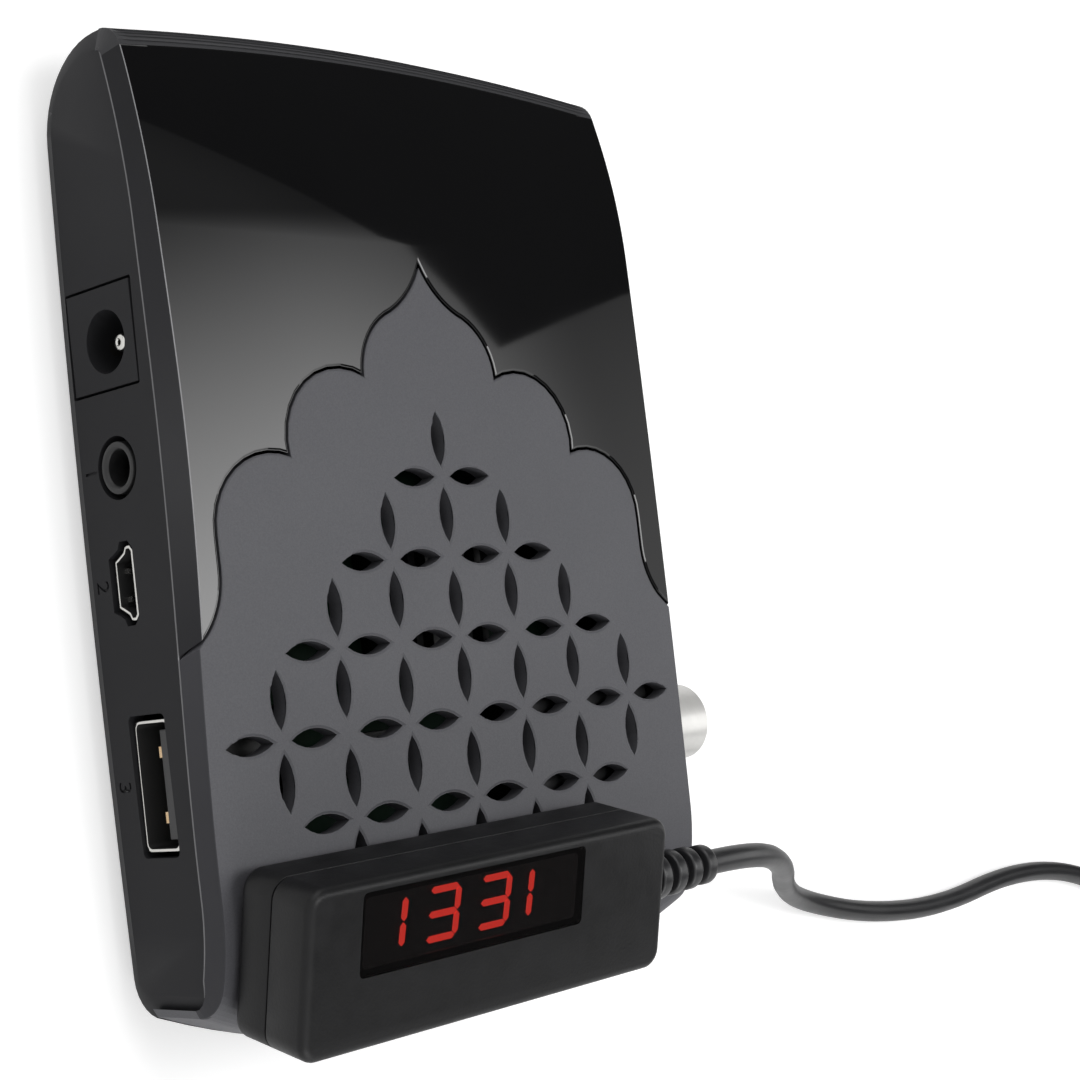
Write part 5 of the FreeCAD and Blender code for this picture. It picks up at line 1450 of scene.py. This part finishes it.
# ---- ports ----
def socket(
    outer: Sequence[tuple[float, float]],
    inner: Sequence[tuple[float, float]],
    start: float,
    depth: float,
) -> bmesh.types.BMesh:
    """A sheet metal tube along X, all but its rim marked for a second finish, which the ports make
    dark grey: painted shade inside the tube.
    """
    bm = carved(upright(outer, start, depth), [(upright(inner, start - 1, depth + 2), Carve.CUT)])
    bm.normal_update()
    for face in bm.faces:
        face.material_index = int(abs(face.normal.x) < 0.5)
    rims = [
        e for e in bm.edges
        if len(e.link_faces) == 2
        and sum(f.normal.x < -0.9 for f in e.link_faces) == 1
    ]
    round_edges(bm, rims, 0.08, 2)
    return bm


@dataclass
class PowerInlet:
    """The round power inlet: block with its bore, and the hollow centre pin."""

    middle_y: float = 21.5
    low: float = 3.7
    size: tuple[float, float, float] = (14.0, 10.4, 10.8)
    axis: tuple[float, float] = (21.1, 9.7)
    bore: float = 3.25
    bore_depth: float = 9.5
    recess: float = 1.6
    # ears: start and end behind the face, reach past each side, low and high
    ears: tuple[float, float, float, float, float] = (5.6, 11.6, 1.8, 7.05, 8.25)
    # slot below the bore: start behind the face, half its width, reach below the bore
    slot: tuple[float, float, float] = (4.5, 1.0, 0.7)
    pin: tuple[tuple[float, float], ...] = (
        (1.2, 0.0), (1.2, 0.26), (0.12, 0.3), (0.0, 0.42), (0.0, 0.7), (0.1, 0.88),
        (0.3, 1.0), (7.9, 1.0), (7.9, 0.0),
    )

    def build(self, bench: Bench, form: Form) -> None:
        """Makes the block and the pin."""
        face = -form.side(self.middle_y)
        depth, width, height = self.size
        y, z = self.axis
        body = block((face, self.middle_y - width / 2, self.low),
                     (face + depth, self.middle_y + width / 2, self.low + height))
        start, end, ear, low, high = self.ears
        ears = block((face + start, self.middle_y - width / 2 - ear, low),
                     (face + end, self.middle_y + width / 2 + ear, high))
        start, half, drop = self.slot
        slot = block((face + start, y - half, z - self.bore - drop),
                     (face + self.bore_depth, y + half, z))
        bm = carved(body, [
            (ears, Carve.JOIN),
            (rod((face - 1, y, z), self.bore, self.bore_depth + 1, "X", 64), Carve.CUT),
            (slot, Carve.CUT),
        ])
        bench.piece(bm, "power_inlet_block", SATIN_ABS, Body.RECEIVER,
                    ["dc_jack_housing"], edge=0.14)
        bench.piece(turned(self.pin, Vector((face + self.recess, y, z)), 40), "power_inlet_pin",
                    NICKEL_PLATE, Body.RECEIVER, ["dc_jack_pin"])


@dataclass
class RoundJack:
    """The 3.5 mm jack with its nose in the wall."""

    middle_y: float = 8.2
    middle_z: float = 9.6
    nose: tuple[tuple[float, float], ...] = (
        (3.0, 1.9), (0.35, 1.9), (0.05, 2.1), (0.0, 2.2), (0.0, 2.5), (0.06, 2.64),
        (0.2, 2.7), (3.0, 2.7),
    )
    body: tuple[float, float, float] = (11.5, 6.6, 5.1)
    nose_length: float = 2.2
    bore: float = 1.9

    def build(self, bench: Bench, form: Form) -> None:
        """Makes the jack's body."""
        face = -form.side(self.middle_y)
        start = face + self.nose_length
        length, width, height = self.body
        y, z = self.middle_y, self.middle_z
        core = block((start, y - width / 2, z - height / 2),
                     (start + length, y + width / 2, z + height / 2))
        bore = rod((start - 1, y, z), self.bore, length, "X", 48)
        bm = carved(core, [(bore, Carve.CUT)])
        ring = [*self.nose, self.nose[0]]
        bench.piece(gathered([bm, turned(ring, Vector((face, y, z)), 48)]), "jack_body",
                    JACK_NYLON, Body.RECEIVER, ["av_jack_body"])


@dataclass
class MiniPort:
    """The small port for the display unit's cord."""

    recess: float = 0.35
    sheet: float = 0.3
    length: float = 9.35
    # springs: places across, start and end behind the rim, half their width, low and high
    springs: tuple[float, float] = (-1.55, 1.35)
    spring: tuple[float, float, float, float, float] = (0.9, 4.0, 0.28, 7.4, 8.15)
    middle_y: ClassVar[float] = -3.5
    floor_z: ClassVar[float] = 7.05
    outline: ClassVar[tuple[tuple[float, float], ...]] = (
        (2.4, 0.0), (2.65, 0.6), (3.2, 1.6), (3.8, 1.9), (3.8, 2.7), (3.3, 3.15),
    )

    @classmethod
    def ring(cls, reach: float) -> list[tuple[float, float]]:
        """The port's outline in Y and Z, moved outward by a reach."""
        right = [Vector((y, z, 0)) for y, z in cls.outline]
        whole = right + [Vector((-p.x, p.y, 0)) for p in reversed(right)]
        closed = grown([whole[-1], *whole, whole[0]], -reach)[1:-1]
        return [(p.x + cls.middle_y, p.y + cls.floor_z) for p in closed]

    def build(self, bench: Bench, form: Form) -> None:
        """Makes the shell with its two springs."""
        start = -form.side(self.middle_y) + self.recess
        tube = socket(self.ring(0), self.ring(-self.sheet), start, self.length)
        near, far, half, low, high = self.spring
        springs = [
            block((start + near, y - half, low), (start + far, y + half, high))
            for y in (self.middle_y + across for across in self.springs)
        ]
        made = bench.piece(gathered([tube, *springs]), "mini_port_tube", NICKEL_PLATE,
                           Body.RECEIVER, ["mini_port_shell"])
        made.data.materials.append(SHADED_NICKEL_SHEET.build())


@dataclass
class TypeAPort:
    """The large data port."""

    middle_y: float = -24.05
    low: float = 7.05
    size: tuple[float, float] = (13.2, 5.7)
    corner: float = 0.6
    recess: float = 0.45
    sheet: float = 0.3
    length: float = 14.5
    tongue: tuple[float, float, float, float] = (0.9, 5.55, 9.95, 11.85)
    back: float = 4.0
    fit: float = 0.05
    inset: float = 0.35
    overlap: float = 0.5
    contact: tuple[float, float] = (0.6, 0.55)
    contacts: tuple[tuple[float, float], ...] = (
        (-3.3, 1.0), (-1.15, 2.6), (1.15, 2.6), (3.3, 1.0),
    )

    def _outline(self, inset: float) -> list[tuple[float, float]]:
        """The shell's outline in Y and Z, moved inward."""
        half, high = self.size[0] / 2 - inset, self.low + self.size[1] - inset
        low, r = self.low + inset, self.corner
        y = self.middle_y
        centres = ((half - r, high - r, 0), (r - half, high - r, 1),
                   (r - half, low + r, 2), (half - r, low + r, 3))
        return [
            (y + cy + r * math.cos(t), cz + r * math.sin(t))
            for cy, cz, quarter in centres
            for t in ((quarter + k / 5) * math.pi / 2 for k in range(6))
        ]

    def build(self, bench: Bench, form: Form) -> None:
        """Makes the shell, the tongue with its rear block, and the contacts."""
        start = -form.side(self.middle_y) + self.recess
        tube = socket(self._outline(0), self._outline(self.sheet), start, self.length)
        made = bench.piece(tube, "type_a_port_tube", NICKEL_PLATE, Body.RECEIVER,
                           ["type_a_port_shell"])
        made.data.materials.append(SHADED_NICKEL_SHEET.build())
        out, half, low, high = self.tongue
        end, y = start + self.length, self.middle_y
        inner = self.size[0] / 2 - self.sheet - self.fit
        bm = carved(
            block((start + out, y - half, low), (end - self.back + self.overlap, y + half, high)),
            [(block((end - self.back, y - inner, self.low + self.inset),
                    (end, y + inner, self.low + self.size[1] - self.inset)), Carve.JOIN)],
        )
        bench.piece(bm, "type_a_port_insert", TONGUE_POLYMER, Body.RECEIVER,
                    ["type_a_port_tongue"], edge=0.1)
        side, drop = self.contact
        strips = [
            block((start + front, y + across - side, low - drop),
                  (end - self.back, y + across + side, low))
            for across, front in self.contacts
        ]
        bench.piece(gathered(strips), "type_a_port_strips", GOLD_FLASH, Body.RECEIVER,
                    ["type_a_port_contacts"], edge=0.06)


# ---- display unit ----
@dataclass
class DisplayUnit:
    """The wired display unit: two leather-grained halves that meet in a seam.

    It is built lying at the origin, back down and face up, and then put in place.
    """

    size: tuple[float, float, float] = (53.0, 17.3, 10.5)
    seam: tuple[float, float] = (4.85, 4.97)
    corner: float = 2.2
    edge: float = 1.0
    seam_edge: float = 0.13
    wall: float = 1.4
    window: tuple[float, float, float, float] = (-3.6, 3.15, 32.1, 8.6)
    window_thickness: float = 0.9
    lip: float = 0.7
    left: float = -8.75
    tilt: float = 14.0
    rest_gap: float = 0.2
    digit_rights: tuple[float, ...] = (-12.8, -5.35, 2.1, 9.55)
    figures: tuple[str, ...] = ("bc", "abcdg", "abcdg", "ef")
    digit: tuple[float, float] = (4.0, 2.55)
    digit_middle: tuple[float, float] = (3.1, 8.6)
    bar: float = 0.68
    bar_gap: float = 0.09
    slant: float = 0.065
    relief: tuple[float, float, float] = (13.5, 2.95, 2.35)
    ribs: int = 5
    rib_share: float = 0.56
    groove: float = 0.95
    relief_gap: float = 0.05
    neck: tuple[tuple[float, float], ...] = (
        (-2.6, 0.0), (-2.6, 3.2), (-1.5, 3.2), (-1.5, 2.3), (0.0, 2.3),
    )
    rib_edge: tuple[tuple[float, float], ...] = ((0.0, 0.3), (0.12, 0.08), (0.35, 0.0))
    bar_height: float = 0.15
    sleeve_hole: float = 2.4
    # posts: inset from the ends and sides, reach into the back, radius and length
    post_inset: tuple[float, float] = (4.8, 4.15)
    post: tuple[float, float, float] = (0.2, 1.6, 2.0)

    def place(self, form: Form) -> Matrix:
        """Where it rests, tangent to the nose and balanced over the line of contact."""
        tilt = math.radians(self.tilt)
        contact = Vector((self.left, form.nose_y - form.nose * math.sin(tilt),
                          form.top - form.nose * (1 - math.cos(tilt))))
        normal = Vector((0, -math.sin(tilt), math.cos(tilt)))
        uphill = Vector((0, math.cos(tilt), math.sin(tilt)))
        balance = (self.size[2] / 2 + self.rest_gap) * math.tan(tilt)
        origin = contact + normal * self.rest_gap + uphill * balance
        return Matrix.Translation(origin) @ Matrix.Rotation(tilt, 4, "X")

    def _block(self, inset: float, low: float, high: float) -> bmesh.types.BMesh:
        """A block of the unit's outline with rounded corners."""
        x, y = self.size[0] / 2 - inset, self.size[1] / 2 - inset
        return soft_block((-x, -y, low), (x, y, high), 2, max(self.corner - inset, 0.5), 8)

    def _window(self, shrink: float, low: float, high: float) -> bmesh.types.BMesh:
        """A block of the window's outline."""
        x, y, length, width = self.window
        half_x, half_y = length / 2 - shrink, width / 2 - shrink
        return soft_block((x - half_x, y - half_y, low), (x + half_x, y + half_y, high), 2, 0.6, 4)

    def _half(self, low: float, high: float, outer: float) -> bmesh.types.BMesh:
        """One half's outside, rounded at its outer face and eased at the seam."""
        bm = self._block(0.0, low, high)
        for level in (low, high):
            edges = [e for e in bm.edges if all(abs(v.co.z - level) < TINY for v in e.verts)]
            if level == outer:
                round_edges(bm, edges, self.edge, 5)
            else:
                round_edges(bm, edges, self.seam_edge, 2)
        return bm

    def _bars(self) -> bmesh.types.BMesh:
        """The lit bars: slanted slim bars with pointed ends."""
        width, half = self.digit
        middle, z = self.digit_middle
        w, gap = self.bar / 2, self.bar_gap
        corners = {
            "a": ((0, half), (width, half)), "b": ((width, half), (width, 0)),
            "c": ((width, 0), (width, -half)), "d": ((0, -half), (width, -half)),
            "e": ((0, 0), (0, -half)), "f": ((0, half), (0, 0)), "g": ((0, 0), (width, 0)),
        }
        forms = []
        for right, figure in zip(self.digit_rights, self.figures):
            for segment in figure:
                start, end = (Vector((*corner, 0)) for corner in corners[segment])
                along = (end - start).normalized()
                across = Vector((-along.y, along.x, 0)) * w
                start, end = start + along * gap, end - along * gap
                outline = [start, start + along * w + across, end - along * w + across,
                           end, end - along * w - across, start + along * w - across]
                loop = [
                    Vector((right - width + p.x + self.slant * p.y, middle + p.y, z))
                    for p in outline
                ]
                forms.append(sheet_of(loop, Vector((0, 0, self.bar_height))))
        return gathered(forms)

    def _relief(self) -> bmesh.types.BMesh:
        """The bend relief: neck and flange in the shell, and soft round ribs outside."""
        length, first, last = self.relief
        start = self.size[0] / 2 + self.relief_gap
        pitch = (length - self.relief_gap) / (self.ribs + self.rib_share - 1)
        edge = [(0.0, self.groove), *self.rib_edge]
        outline = list(self.neck)
        for k in range(self.ribs):
            r = first + (last - first) * k / (self.ribs - 1)
            x, width = k * pitch, pitch * self.rib_share
            outline += [(x + along, r - drop) for along, drop in edge]
            outline += [(x + width - along, r - drop) for along, drop in reversed(edge)]
        outline.append((outline[-1][0], 0.0))
        return turned(outline, Vector((start, 0, self.size[2] / 2)), 48)

    def build(self, bench: Bench, form: Form) -> None:
        """Makes both halves, the lit bars and the bend relief."""
        place, depth = self.place(form), self.size[2]
        half_x = self.size[0] / 2
        sleeve = ((half_x - self.wall - 1, 0, depth / 2), self.sleeve_hole, self.wall + 2, "X", 40)
        face = carved(self._half(self.seam[1], depth, depth), [
            (self._block(self.wall, 0.0, depth - self.wall), Carve.CUT),
            (self._window(0.0, depth - self.window_thickness, depth + 1), Carve.CUT),
            (self._window(self.lip, 0.0, depth), Carve.CUT),
            (rod(*sleeve), Carve.CUT),
        ])
        bench.piece(face, "display_face_half", LEATHER_ABS, Body.DISPLAY,
                    ["display_front_shell"], crease=30.0, place=place)
        post_x, post_y = half_x - self.post_inset[0], self.size[1] / 2 - self.post_inset[1]
        root, radius, tall = self.post
        posts = [
            rod((x * post_x, y * post_y, self.wall - root), radius, tall)
            for x in (-1, 1) for y in (-1, 1)
        ]
        back = carved(self._half(0.0, self.seam[0], 0.0), [
            (self._block(self.wall, self.wall, depth), Carve.CUT),
            (gathered(posts), Carve.JOIN),
            (rod(*sleeve), Carve.CUT),
        ])
        bench.piece(back, "display_back_half", LEATHER_ABS, Body.DISPLAY,
                    ["display_rear_shell"], crease=30.0, place=place)
        bench.piece(self._bars(), "lit_bars", RED_LIGHT, Body.DISPLAY,
                    ["lit_segments"], place=place)
        bench.piece(self._relief(), "ribbed_relief", CORD_PVC, Body.DISPLAY,
                    ["strain_relief"], crease=50.0, place=place)


# ---- cord ----
@dataclass
class Cord:
    """The display unit's cord, with the unseen rest of it wound beside its plug."""

    radius: float = 1.5
    first_run: float = 10.8
    route: tuple[tuple[float, float, float], ...] = (
        (54.0, -45.6, 17.2), (65.0, -50.0, 8.0), (77.0, -54.0, 1.5),
        (93.0, -58.5, 1.5), (112.0, -60.5, 1.5), (133.0, -58.5, 1.5),
        (152.0, -61.0, 1.5), (168.0, -68.0, 1.5),
    )
    turns: int = 9
    columns: int = 3
    middle_radius: float = 18.0
    plug_tail: float = 3.0
    plug_height: float = 6.4
    steps: int = 14
    length: float = 1.17
    lead_in: float = 1.0
    settle: float = 0.98
    tail_bend: float = 0.6

    def build(self, bench: Bench, tip: Vector, plug: Sequence[bpy.types.Object]) -> None:
        """Makes the cord from the sleeve's tip to the plug.

        Args:
            bench: The bench.
            tip: Where it leaves the display unit's sleeve.
            plug: The pieces at its far end; not used.
        """
        points = [tip, tip + Vector((self.first_run, 0, 0))]
        points += [Vector(place) for place in self.route]
        points += self._coil(points[-2], points[-1])
        curve = bpy.data.curves.new("cord", "CURVE")
        curve.dimensions = "3D"
        curve.bevel_depth = self.radius * METRES
        curve.bevel_resolution = 6
        curve.use_fill_caps = True
        line = curve.splines.new("NURBS")
        line.points.add(len(points) - 1)
        to_row = bench.to_row()
        for control, place in zip(line.points, points):
            control.co = (*(to_row @ place), 1.0)
        line.order_u = 3
        line.use_endpoint_u = True
        line.resolution_u = 8
        curve.materials.append(CORD_PVC.build())
        made = bpy.data.objects.new("cord", curve)
        bpy.context.scene.collection.objects.link(made)
        bench.seat(made, Body.DISPLAY, ["cord_tube", "cord_coil"])

    def _coil(self, before: Vector, last: Vector) -> list[Vector]:
        """Control points of the wound turns and of the tail to the plug."""
        arrive = (last - before).normalized()
        side = Vector((-arrive.y, arrive.x, 0))
        outer = self.middle_radius + self.radius * (self.columns - 1)
        outside = self.middle_radius + self.radius * self.columns
        entry = math.sqrt(outside**2 - (outside - 2 * self.radius) ** 2)
        centre = last + arrive * (entry + self.lead_in) + side * outer
        spoke = -side
        start = math.atan2(spoke.y, spoke.x)
        per_column = self.turns // self.columns
        total = self.turns * 2 * math.pi + -start % (2 * math.pi)
        count = int(total / (2 * math.pi) * self.steps)
        pull = 1 / math.cos(math.pi / self.steps) ** 2
        points = []
        for k in range(count + 1):
            share = k / count
            turn = start + total * share
            lap = min(share * self.turns, self.turns - TINY / 100)
            layer, within = divmod(lap, per_column)
            inward = within if int(layer) % 2 == 0 else per_column - within
            radius = outer - 2 * self.radius * min(inward, self.columns - 1)
            height = self.radius + 2 * self.radius * layer * self.settle
            points.append(
                Vector((centre.x + radius * pull * math.cos(turn),
                        centre.y + radius * pull * math.sin(turn), height))
            )
        leave = centre + Vector((outer, 0, 0))
        reach = entry + self.plug_tail
        points.append(Vector((leave.x, leave.y + reach * self.tail_bend, self.plug_height / 2)))
        points.append(Vector((leave.x, leave.y + reach, self.plug_height / 2)))
        return points


# ---- inside and carried over parts ----
@dataclass
class Interior:
    """Parts whose CAD shape is right: they only get their finish."""

    finishes: dict[str, Finish] = field(
        default_factory=lambda: {
            "circuit_board": SOLDER_MASK,
            "main_chip": CHIP_EPOXY,
            "heat_sink": EXTRUDED_ALUMINIUM,
            "memory_chips": CHIP_EPOXY,
            "capacitors": CAN_SLEEVE,
            "inductors": FERRITE,
            "crystal": SHADED_NICKEL_SHEET,
            "tuner_can": TINPLATE,
            "tuner_lid": TINPLATE,
            "case_screws": ZINC_STEEL,
            "board_screws": ZINC_STEEL,
            "rubber_feet": FOOT_RUBBER,
            "dc_jack_spring": SHADED_BRONZE_SPRING,
            "av_jack_contacts": NICKEL_PLATE,
            "mini_port_tongue": TONGUE_POLYMER,
            "f_connector_barrel": TURNED_NICKEL,
            "f_connector_insulator": WHITE_PTFE,
            "f_connector_contact": GOLD_FLASH,
            "video_socket_shell": NICKEL_PLATE,
            "video_socket_tongue": JACK_NYLON,
            "display_window": SMOKED_ACRYLIC,
            "display_board": SOLDER_MASK,
            "digit_module": CHIP_EPOXY,
            "infrared_eye": CHIP_EPOXY,
            "plug_body": CORD_PVC,
            "plug_shell": NICKEL_PLATE,
        }
    )

    def build(self, nodes: dict[str, bpy.types.Object]) -> None:
        """Dresses the CAD nodes that stay."""
        for name, finish in self.finishes.items():
            mesh = nodes[name].data
            mesh.materials.clear()
            mesh.materials.append(finish.build())
            LOG.info("%s is %s", name, finish.name)


# ---- studio ----
@dataclass
class Studio:
    """Camera, lamps and the pale floor."""

    eye: tuple[float, float, float] = (-0.16872, -0.01584, 0.18490)
    right: tuple[float, float, float] = (0.68281, -0.11531, 0.72144)
    up: tuple[float, float, float] = (0.03834, 0.99176, 0.12223)
    forward: tuple[float, float, float] = (0.72959, 0.05581, -0.68161)
    lens: float = 70.43
    sensor: float = 36.0
    ambient: float = 0.5
    floor_seen: float = 0.5
    floor_mirrored: float = 0.2
    board_place: tuple[float, float, float] = (0.6751, 0.1999, 0.7274)
    board_across: tuple[float, float, float] = (-0.2477, 0.9688, 0.0)
    board_up: tuple[float, float, float] = (-0.6873, -0.1757, 0.7048)
    board_away: tuple[float, float, float] = (0.6828, 0.1746, 0.7094)
    flag_reach: float = 0.95
    far_card_corners: tuple[tuple[float, float], ...] = (
        (-0.30, 0.075), (0.06, 0.075), (0.9, 0.03), (1.2, 1.3), (-0.30, 1.3),
    )
    flag_glow: float = 0.04
    bounce: tuple[tuple[float, float, float], ...] = (
        (0.113, -0.0385, 0.080), (0.0, 0.0265, 0.0), (-0.034, 0.0, 0.0365),
    )
    bounce_glow: float = 1.8
    clip: tuple[float, float] = (0.01, 10.0)
    floor_reach: float = 3.0
    flag_back: float = 0.03
    card_height: float = 0.001
    card_thickness: float = 0.0005
    aim: tuple[float, float, float] = (0.0, 0.0, 0.01)
    lamps: tuple[tuple[str, tuple[float, float, float], float, float], ...] = (
        ("overhead", (0.05, 0.05, 0.8), 0.30, 2.2),
        ("far", (-0.15, 0.7, 0.45), 0.45, 1.2),
        ("near", (-0.12, -0.7, 0.35), 0.45, 1.7),
    )
    # heights where the soft light's fade starts and ends, and its share at the start
    softbox_foot: tuple[float, float, float] = (-0.10, 0.07, 0.12)
    softbox_corners: tuple[tuple[float, float], ...] = (
        (0.50, -0.004), (0.053, -0.004), (0.022, -0.016), (-0.010, -0.033),
        (-0.043, -0.047), (-0.038, -0.086), (-0.034, -0.123), (-0.030, -0.40),
        (-0.22, -0.40), (-0.22, 0.45), (0.50, 0.45),
    )
    # places across the soft light where its fade starts and ends, and its strength there
    softbox_fade: tuple[tuple[float, float], tuple[float, float]] = ((-0.21, 7.4), (0.13, 0.2))

    def camera(self) -> None:
        """Stands the camera at its place."""
        data = bpy.data.cameras.new("camera")
        data.lens, data.sensor_width = self.lens, self.sensor
        data.clip_start, data.clip_end = self.clip
        made = bpy.data.objects.new("camera", data)
        columns = [Vector(self.right), Vector(self.up), -Vector(self.forward)]
        matrix = Matrix([[c[i] for c in columns] for i in range(3)]).to_4x4()
        matrix.translation = Vector(self.eye)
        made.matrix_world = matrix
        bpy.context.scene.collection.objects.link(made)
        bpy.context.scene.camera = made

    def lamp(self, name: str, place: Vector, aim: Vector, size: float, power: float) -> None:
        """Adds one square soft lamp."""
        data = bpy.data.lights.new(name, "AREA")
        data.shape, data.size, data.energy = "SQUARE", size, power
        made = bpy.data.objects.new(name, data)
        made.location = place
        made.rotation_euler = (aim - place).to_track_quat("-Z", "Y").to_euler()
        bpy.context.scene.collection.objects.link(made)

    def floor(self) -> None:
        """A pale table that camera, gloss and glass see as white, with the shadow kept."""
        bm = bmesh.new()
        bmesh.ops.create_grid(bm, x_segments=1, y_segments=1, size=self.floor_reach)
        made = as_object(bm, "table")
        paint = bpy.data.materials.new("white_table_laminate")
        paint.use_nodes = True
        tree = paint.node_tree
        shader = tree.nodes["Principled BSDF"]
        shader.inputs["Base Color"].default_value = linear("#e0e0e0")
        shader.inputs["Roughness"].default_value = 0.8
        shader.inputs["Specular IOR Level"].default_value = 0.1
        path = add_node(tree, "ShaderNodeLightPath")
        mirrored = add_node(
            tree,
            "ShaderNodeMath",
            None,
            {0: path.outputs["Is Glossy Ray"], 1: path.outputs["Is Transmission Ray"]},
            operation="MAXIMUM",
        )
        mirrored = add_node(
            tree, "ShaderNodeMath", {1: self.floor_mirrored}, {0: mirrored.outputs[0]},
            operation="MULTIPLY",
        )
        glow = add_node(
            tree,
            "ShaderNodeMath",
            {1: self.floor_seen},
            {0: path.outputs["Is Camera Ray"], 2: mirrored.outputs[0]},
            operation="MULTIPLY_ADD",
        )
        shader.inputs["Emission Color"].default_value = (1, 1, 1, 1)
        tree.links.new(glow.outputs[0], shader.inputs["Emission Strength"])
        made.data.materials.append(paint)

    def world(self) -> None:
        """Even light all round, white to the eye and in mirrors."""
        world = bpy.data.worlds.new("studio")
        world.use_nodes = True
        bpy.context.scene.world = world
        tree = world.node_tree
        path = add_node(tree, "ShaderNodeLightPath")
        plain = add_node(
            tree,
            "ShaderNodeMapRange",
            {"To Min": 1.0, "To Max": self.ambient},
            {"Value": path.outputs["Is Diffuse Ray"]},
        )
        back = tree.nodes["Background"]
        back.inputs["Color"].default_value = (1, 1, 1, 1)
        tree.links.new(plain.outputs["Result"], back.inputs["Strength"])

    @staticmethod
    def card(bm: bmesh.types.BMesh, name: str, cloth: bpy.types.Material) -> bpy.types.Object:
        """A studio card that only mirrors see."""
        made = as_object(bm, name)
        made.visible_camera = made.visible_diffuse = made.visible_shadow = False
        made.visible_transmission = made.visible_volume_scatter = False
        made.data.materials.append(cloth)
        return made

    def board(
        self,
        name: str,
        corners: Sequence[tuple[float, float]],
        back: float,
        cloth: bpy.types.Material,
    ) -> None:
        """A flat card that stands across the mirror direction.

        Args:
            name: Its name.
            corners: Its outline across and up, in metres from the board's middle.
            back: How far it stands behind the first board.
            cloth: What covers it.
        """
        made = self.card(flat([Vector((*corner, 0)) for corner in corners]), name, cloth)
        across, up, away = (Vector(v) for v in (self.board_across, self.board_up, self.board_away))
        matrix = Matrix([[c[i] for c in (across, up, away)] for i in range(3)]).to_4x4()
        matrix.translation = Vector(self.board_place) + away * back
        made.matrix_world = matrix

    def flag(self) -> None:
        """A large black board that keeps the polished cover dark."""
        reach = self.flag_reach
        corners = [(-reach, -reach), (reach, -reach), (reach, reach), (-reach, reach)]
        cloth = self.light("black_flock", None, self.flag_glow)
        self.board("black_flag", corners, self.flag_back, cloth)

    def far_card(self) -> None:
        """A black card on the table beyond the far end."""
        bm = flat([Vector((*corner, self.card_height)) for corner in self.far_card_corners])
        push(bm, bm.faces[:], Vector((0, 0, -self.card_thickness)))
        bmesh.ops.recalc_face_normals(bm, faces=bm.faces[:])
        self.card(bm, "far_card", self.light("black_card", None, self.flag_glow))

    def bounce_card(self) -> None:
        """A small white card beside the aerial connector."""
        bm = bmesh.new()
        middle, across, up = (Vector(v) for v in self.bounce)
        corners = [bm.verts.new(middle + across * a + up * b)
                   for a, b in ((-1, -1), (1, -1), (1, 1), (-1, 1))]
        bm.faces.new(corners)
        self.card(bm, "bounce_card", self.light("white_card", None, self.bounce_glow))

    def softbox(self) -> None:
        """A tall soft light that fades across and towards its foot."""
        cloth = self.light("softbox_cloth", self.softbox_fade)
        self.board("softbox", self.softbox_corners, 0.0, cloth)

    def light(
        self,
        name: str,
        fade: Optional[tuple[tuple[float, float], tuple[float, float]]],
        level: float = 0.0,
    ) -> bpy.types.Material:
        """Emission of one level, or one that fades smoothly across a board and to its foot."""
        paint = bpy.data.materials.new(name)
        paint.use_nodes = True
        tree = paint.node_tree
        tree.nodes.clear()
        out = add_node(tree, "ShaderNodeOutputMaterial")
        glow = add_node(tree, "ShaderNodeEmission", {"Color": (1, 1, 1, 1), "Strength": level})
        tree.links.new(glow.outputs[0], out.inputs["Surface"])
        if fade:
            place = add_node(tree, "ShaderNodeTexCoord").outputs["Object"]
            axes = add_node(tree, "ShaderNodeSeparateXYZ", links={0: place})
            (start, first), (end, last) = fade
            across = add_node(
                tree,
                "ShaderNodeMapRange",
                {"From Min": start, "From Max": end, "To Min": first, "To Max": last},
                {"Value": axes.outputs["X"]},
                interpolation_type="SMOOTHSTEP",
            )
            foot, full, share = self.softbox_foot
            upward = add_node(
                tree,
                "ShaderNodeMapRange",
                {"From Min": foot, "From Max": full, "To Min": share, "To Max": 1.0},
                {"Value": axes.outputs["Y"]},
                interpolation_type="SMOOTHSTEP",
            )
            strength = add_node(
                tree,
                "ShaderNodeMath",
                links={0: across.outputs["Result"], 1: upward.outputs["Result"]},
                operation="MULTIPLY",
            )
            tree.links.new(strength.outputs[0], glow.inputs["Strength"])
        return paint

    def build(self) -> None:
        """Sets up the studio."""
        bpy.context.scene.view_settings.view_transform = "Standard"
        self.camera()
        self.floor()
        self.world()
        self.flag()
        self.softbox()
        self.far_card()
        self.bounce_card()
        for name, place, size, power in self.lamps:
            self.lamp(name, Vector(place), Vector(self.aim), size, power)


def main() -> None:
    """Builds every sub-assembly round the frame."""
    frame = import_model()
    nodes = frame["nodes"]
    bench = Bench.at_frame()
    Studio().build()
    Interior().build(nodes)
    Covers().build(bench)
    Base().build(bench)
    form = Form()
    for port in (PowerInlet(), RoundJack(), MiniPort(), TypeAPort()):
        port.build(bench, form)
    DisplayUnit().build(bench, form)
    low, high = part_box("strain_relief")
    middle = (low + high) / 2
    tip = bench.to_row().inverted() @ Vector((high.x, middle.y, middle.z))
    Cord().build(bench, tip, [nodes["plug_body"], nodes["plug_shell"]])
    LOG.info("%d pieces made", len(bench.made))


if __name__ == "__main__":
    logging.basicConfig(level=logging.INFO, format="%(message)s")
    main()
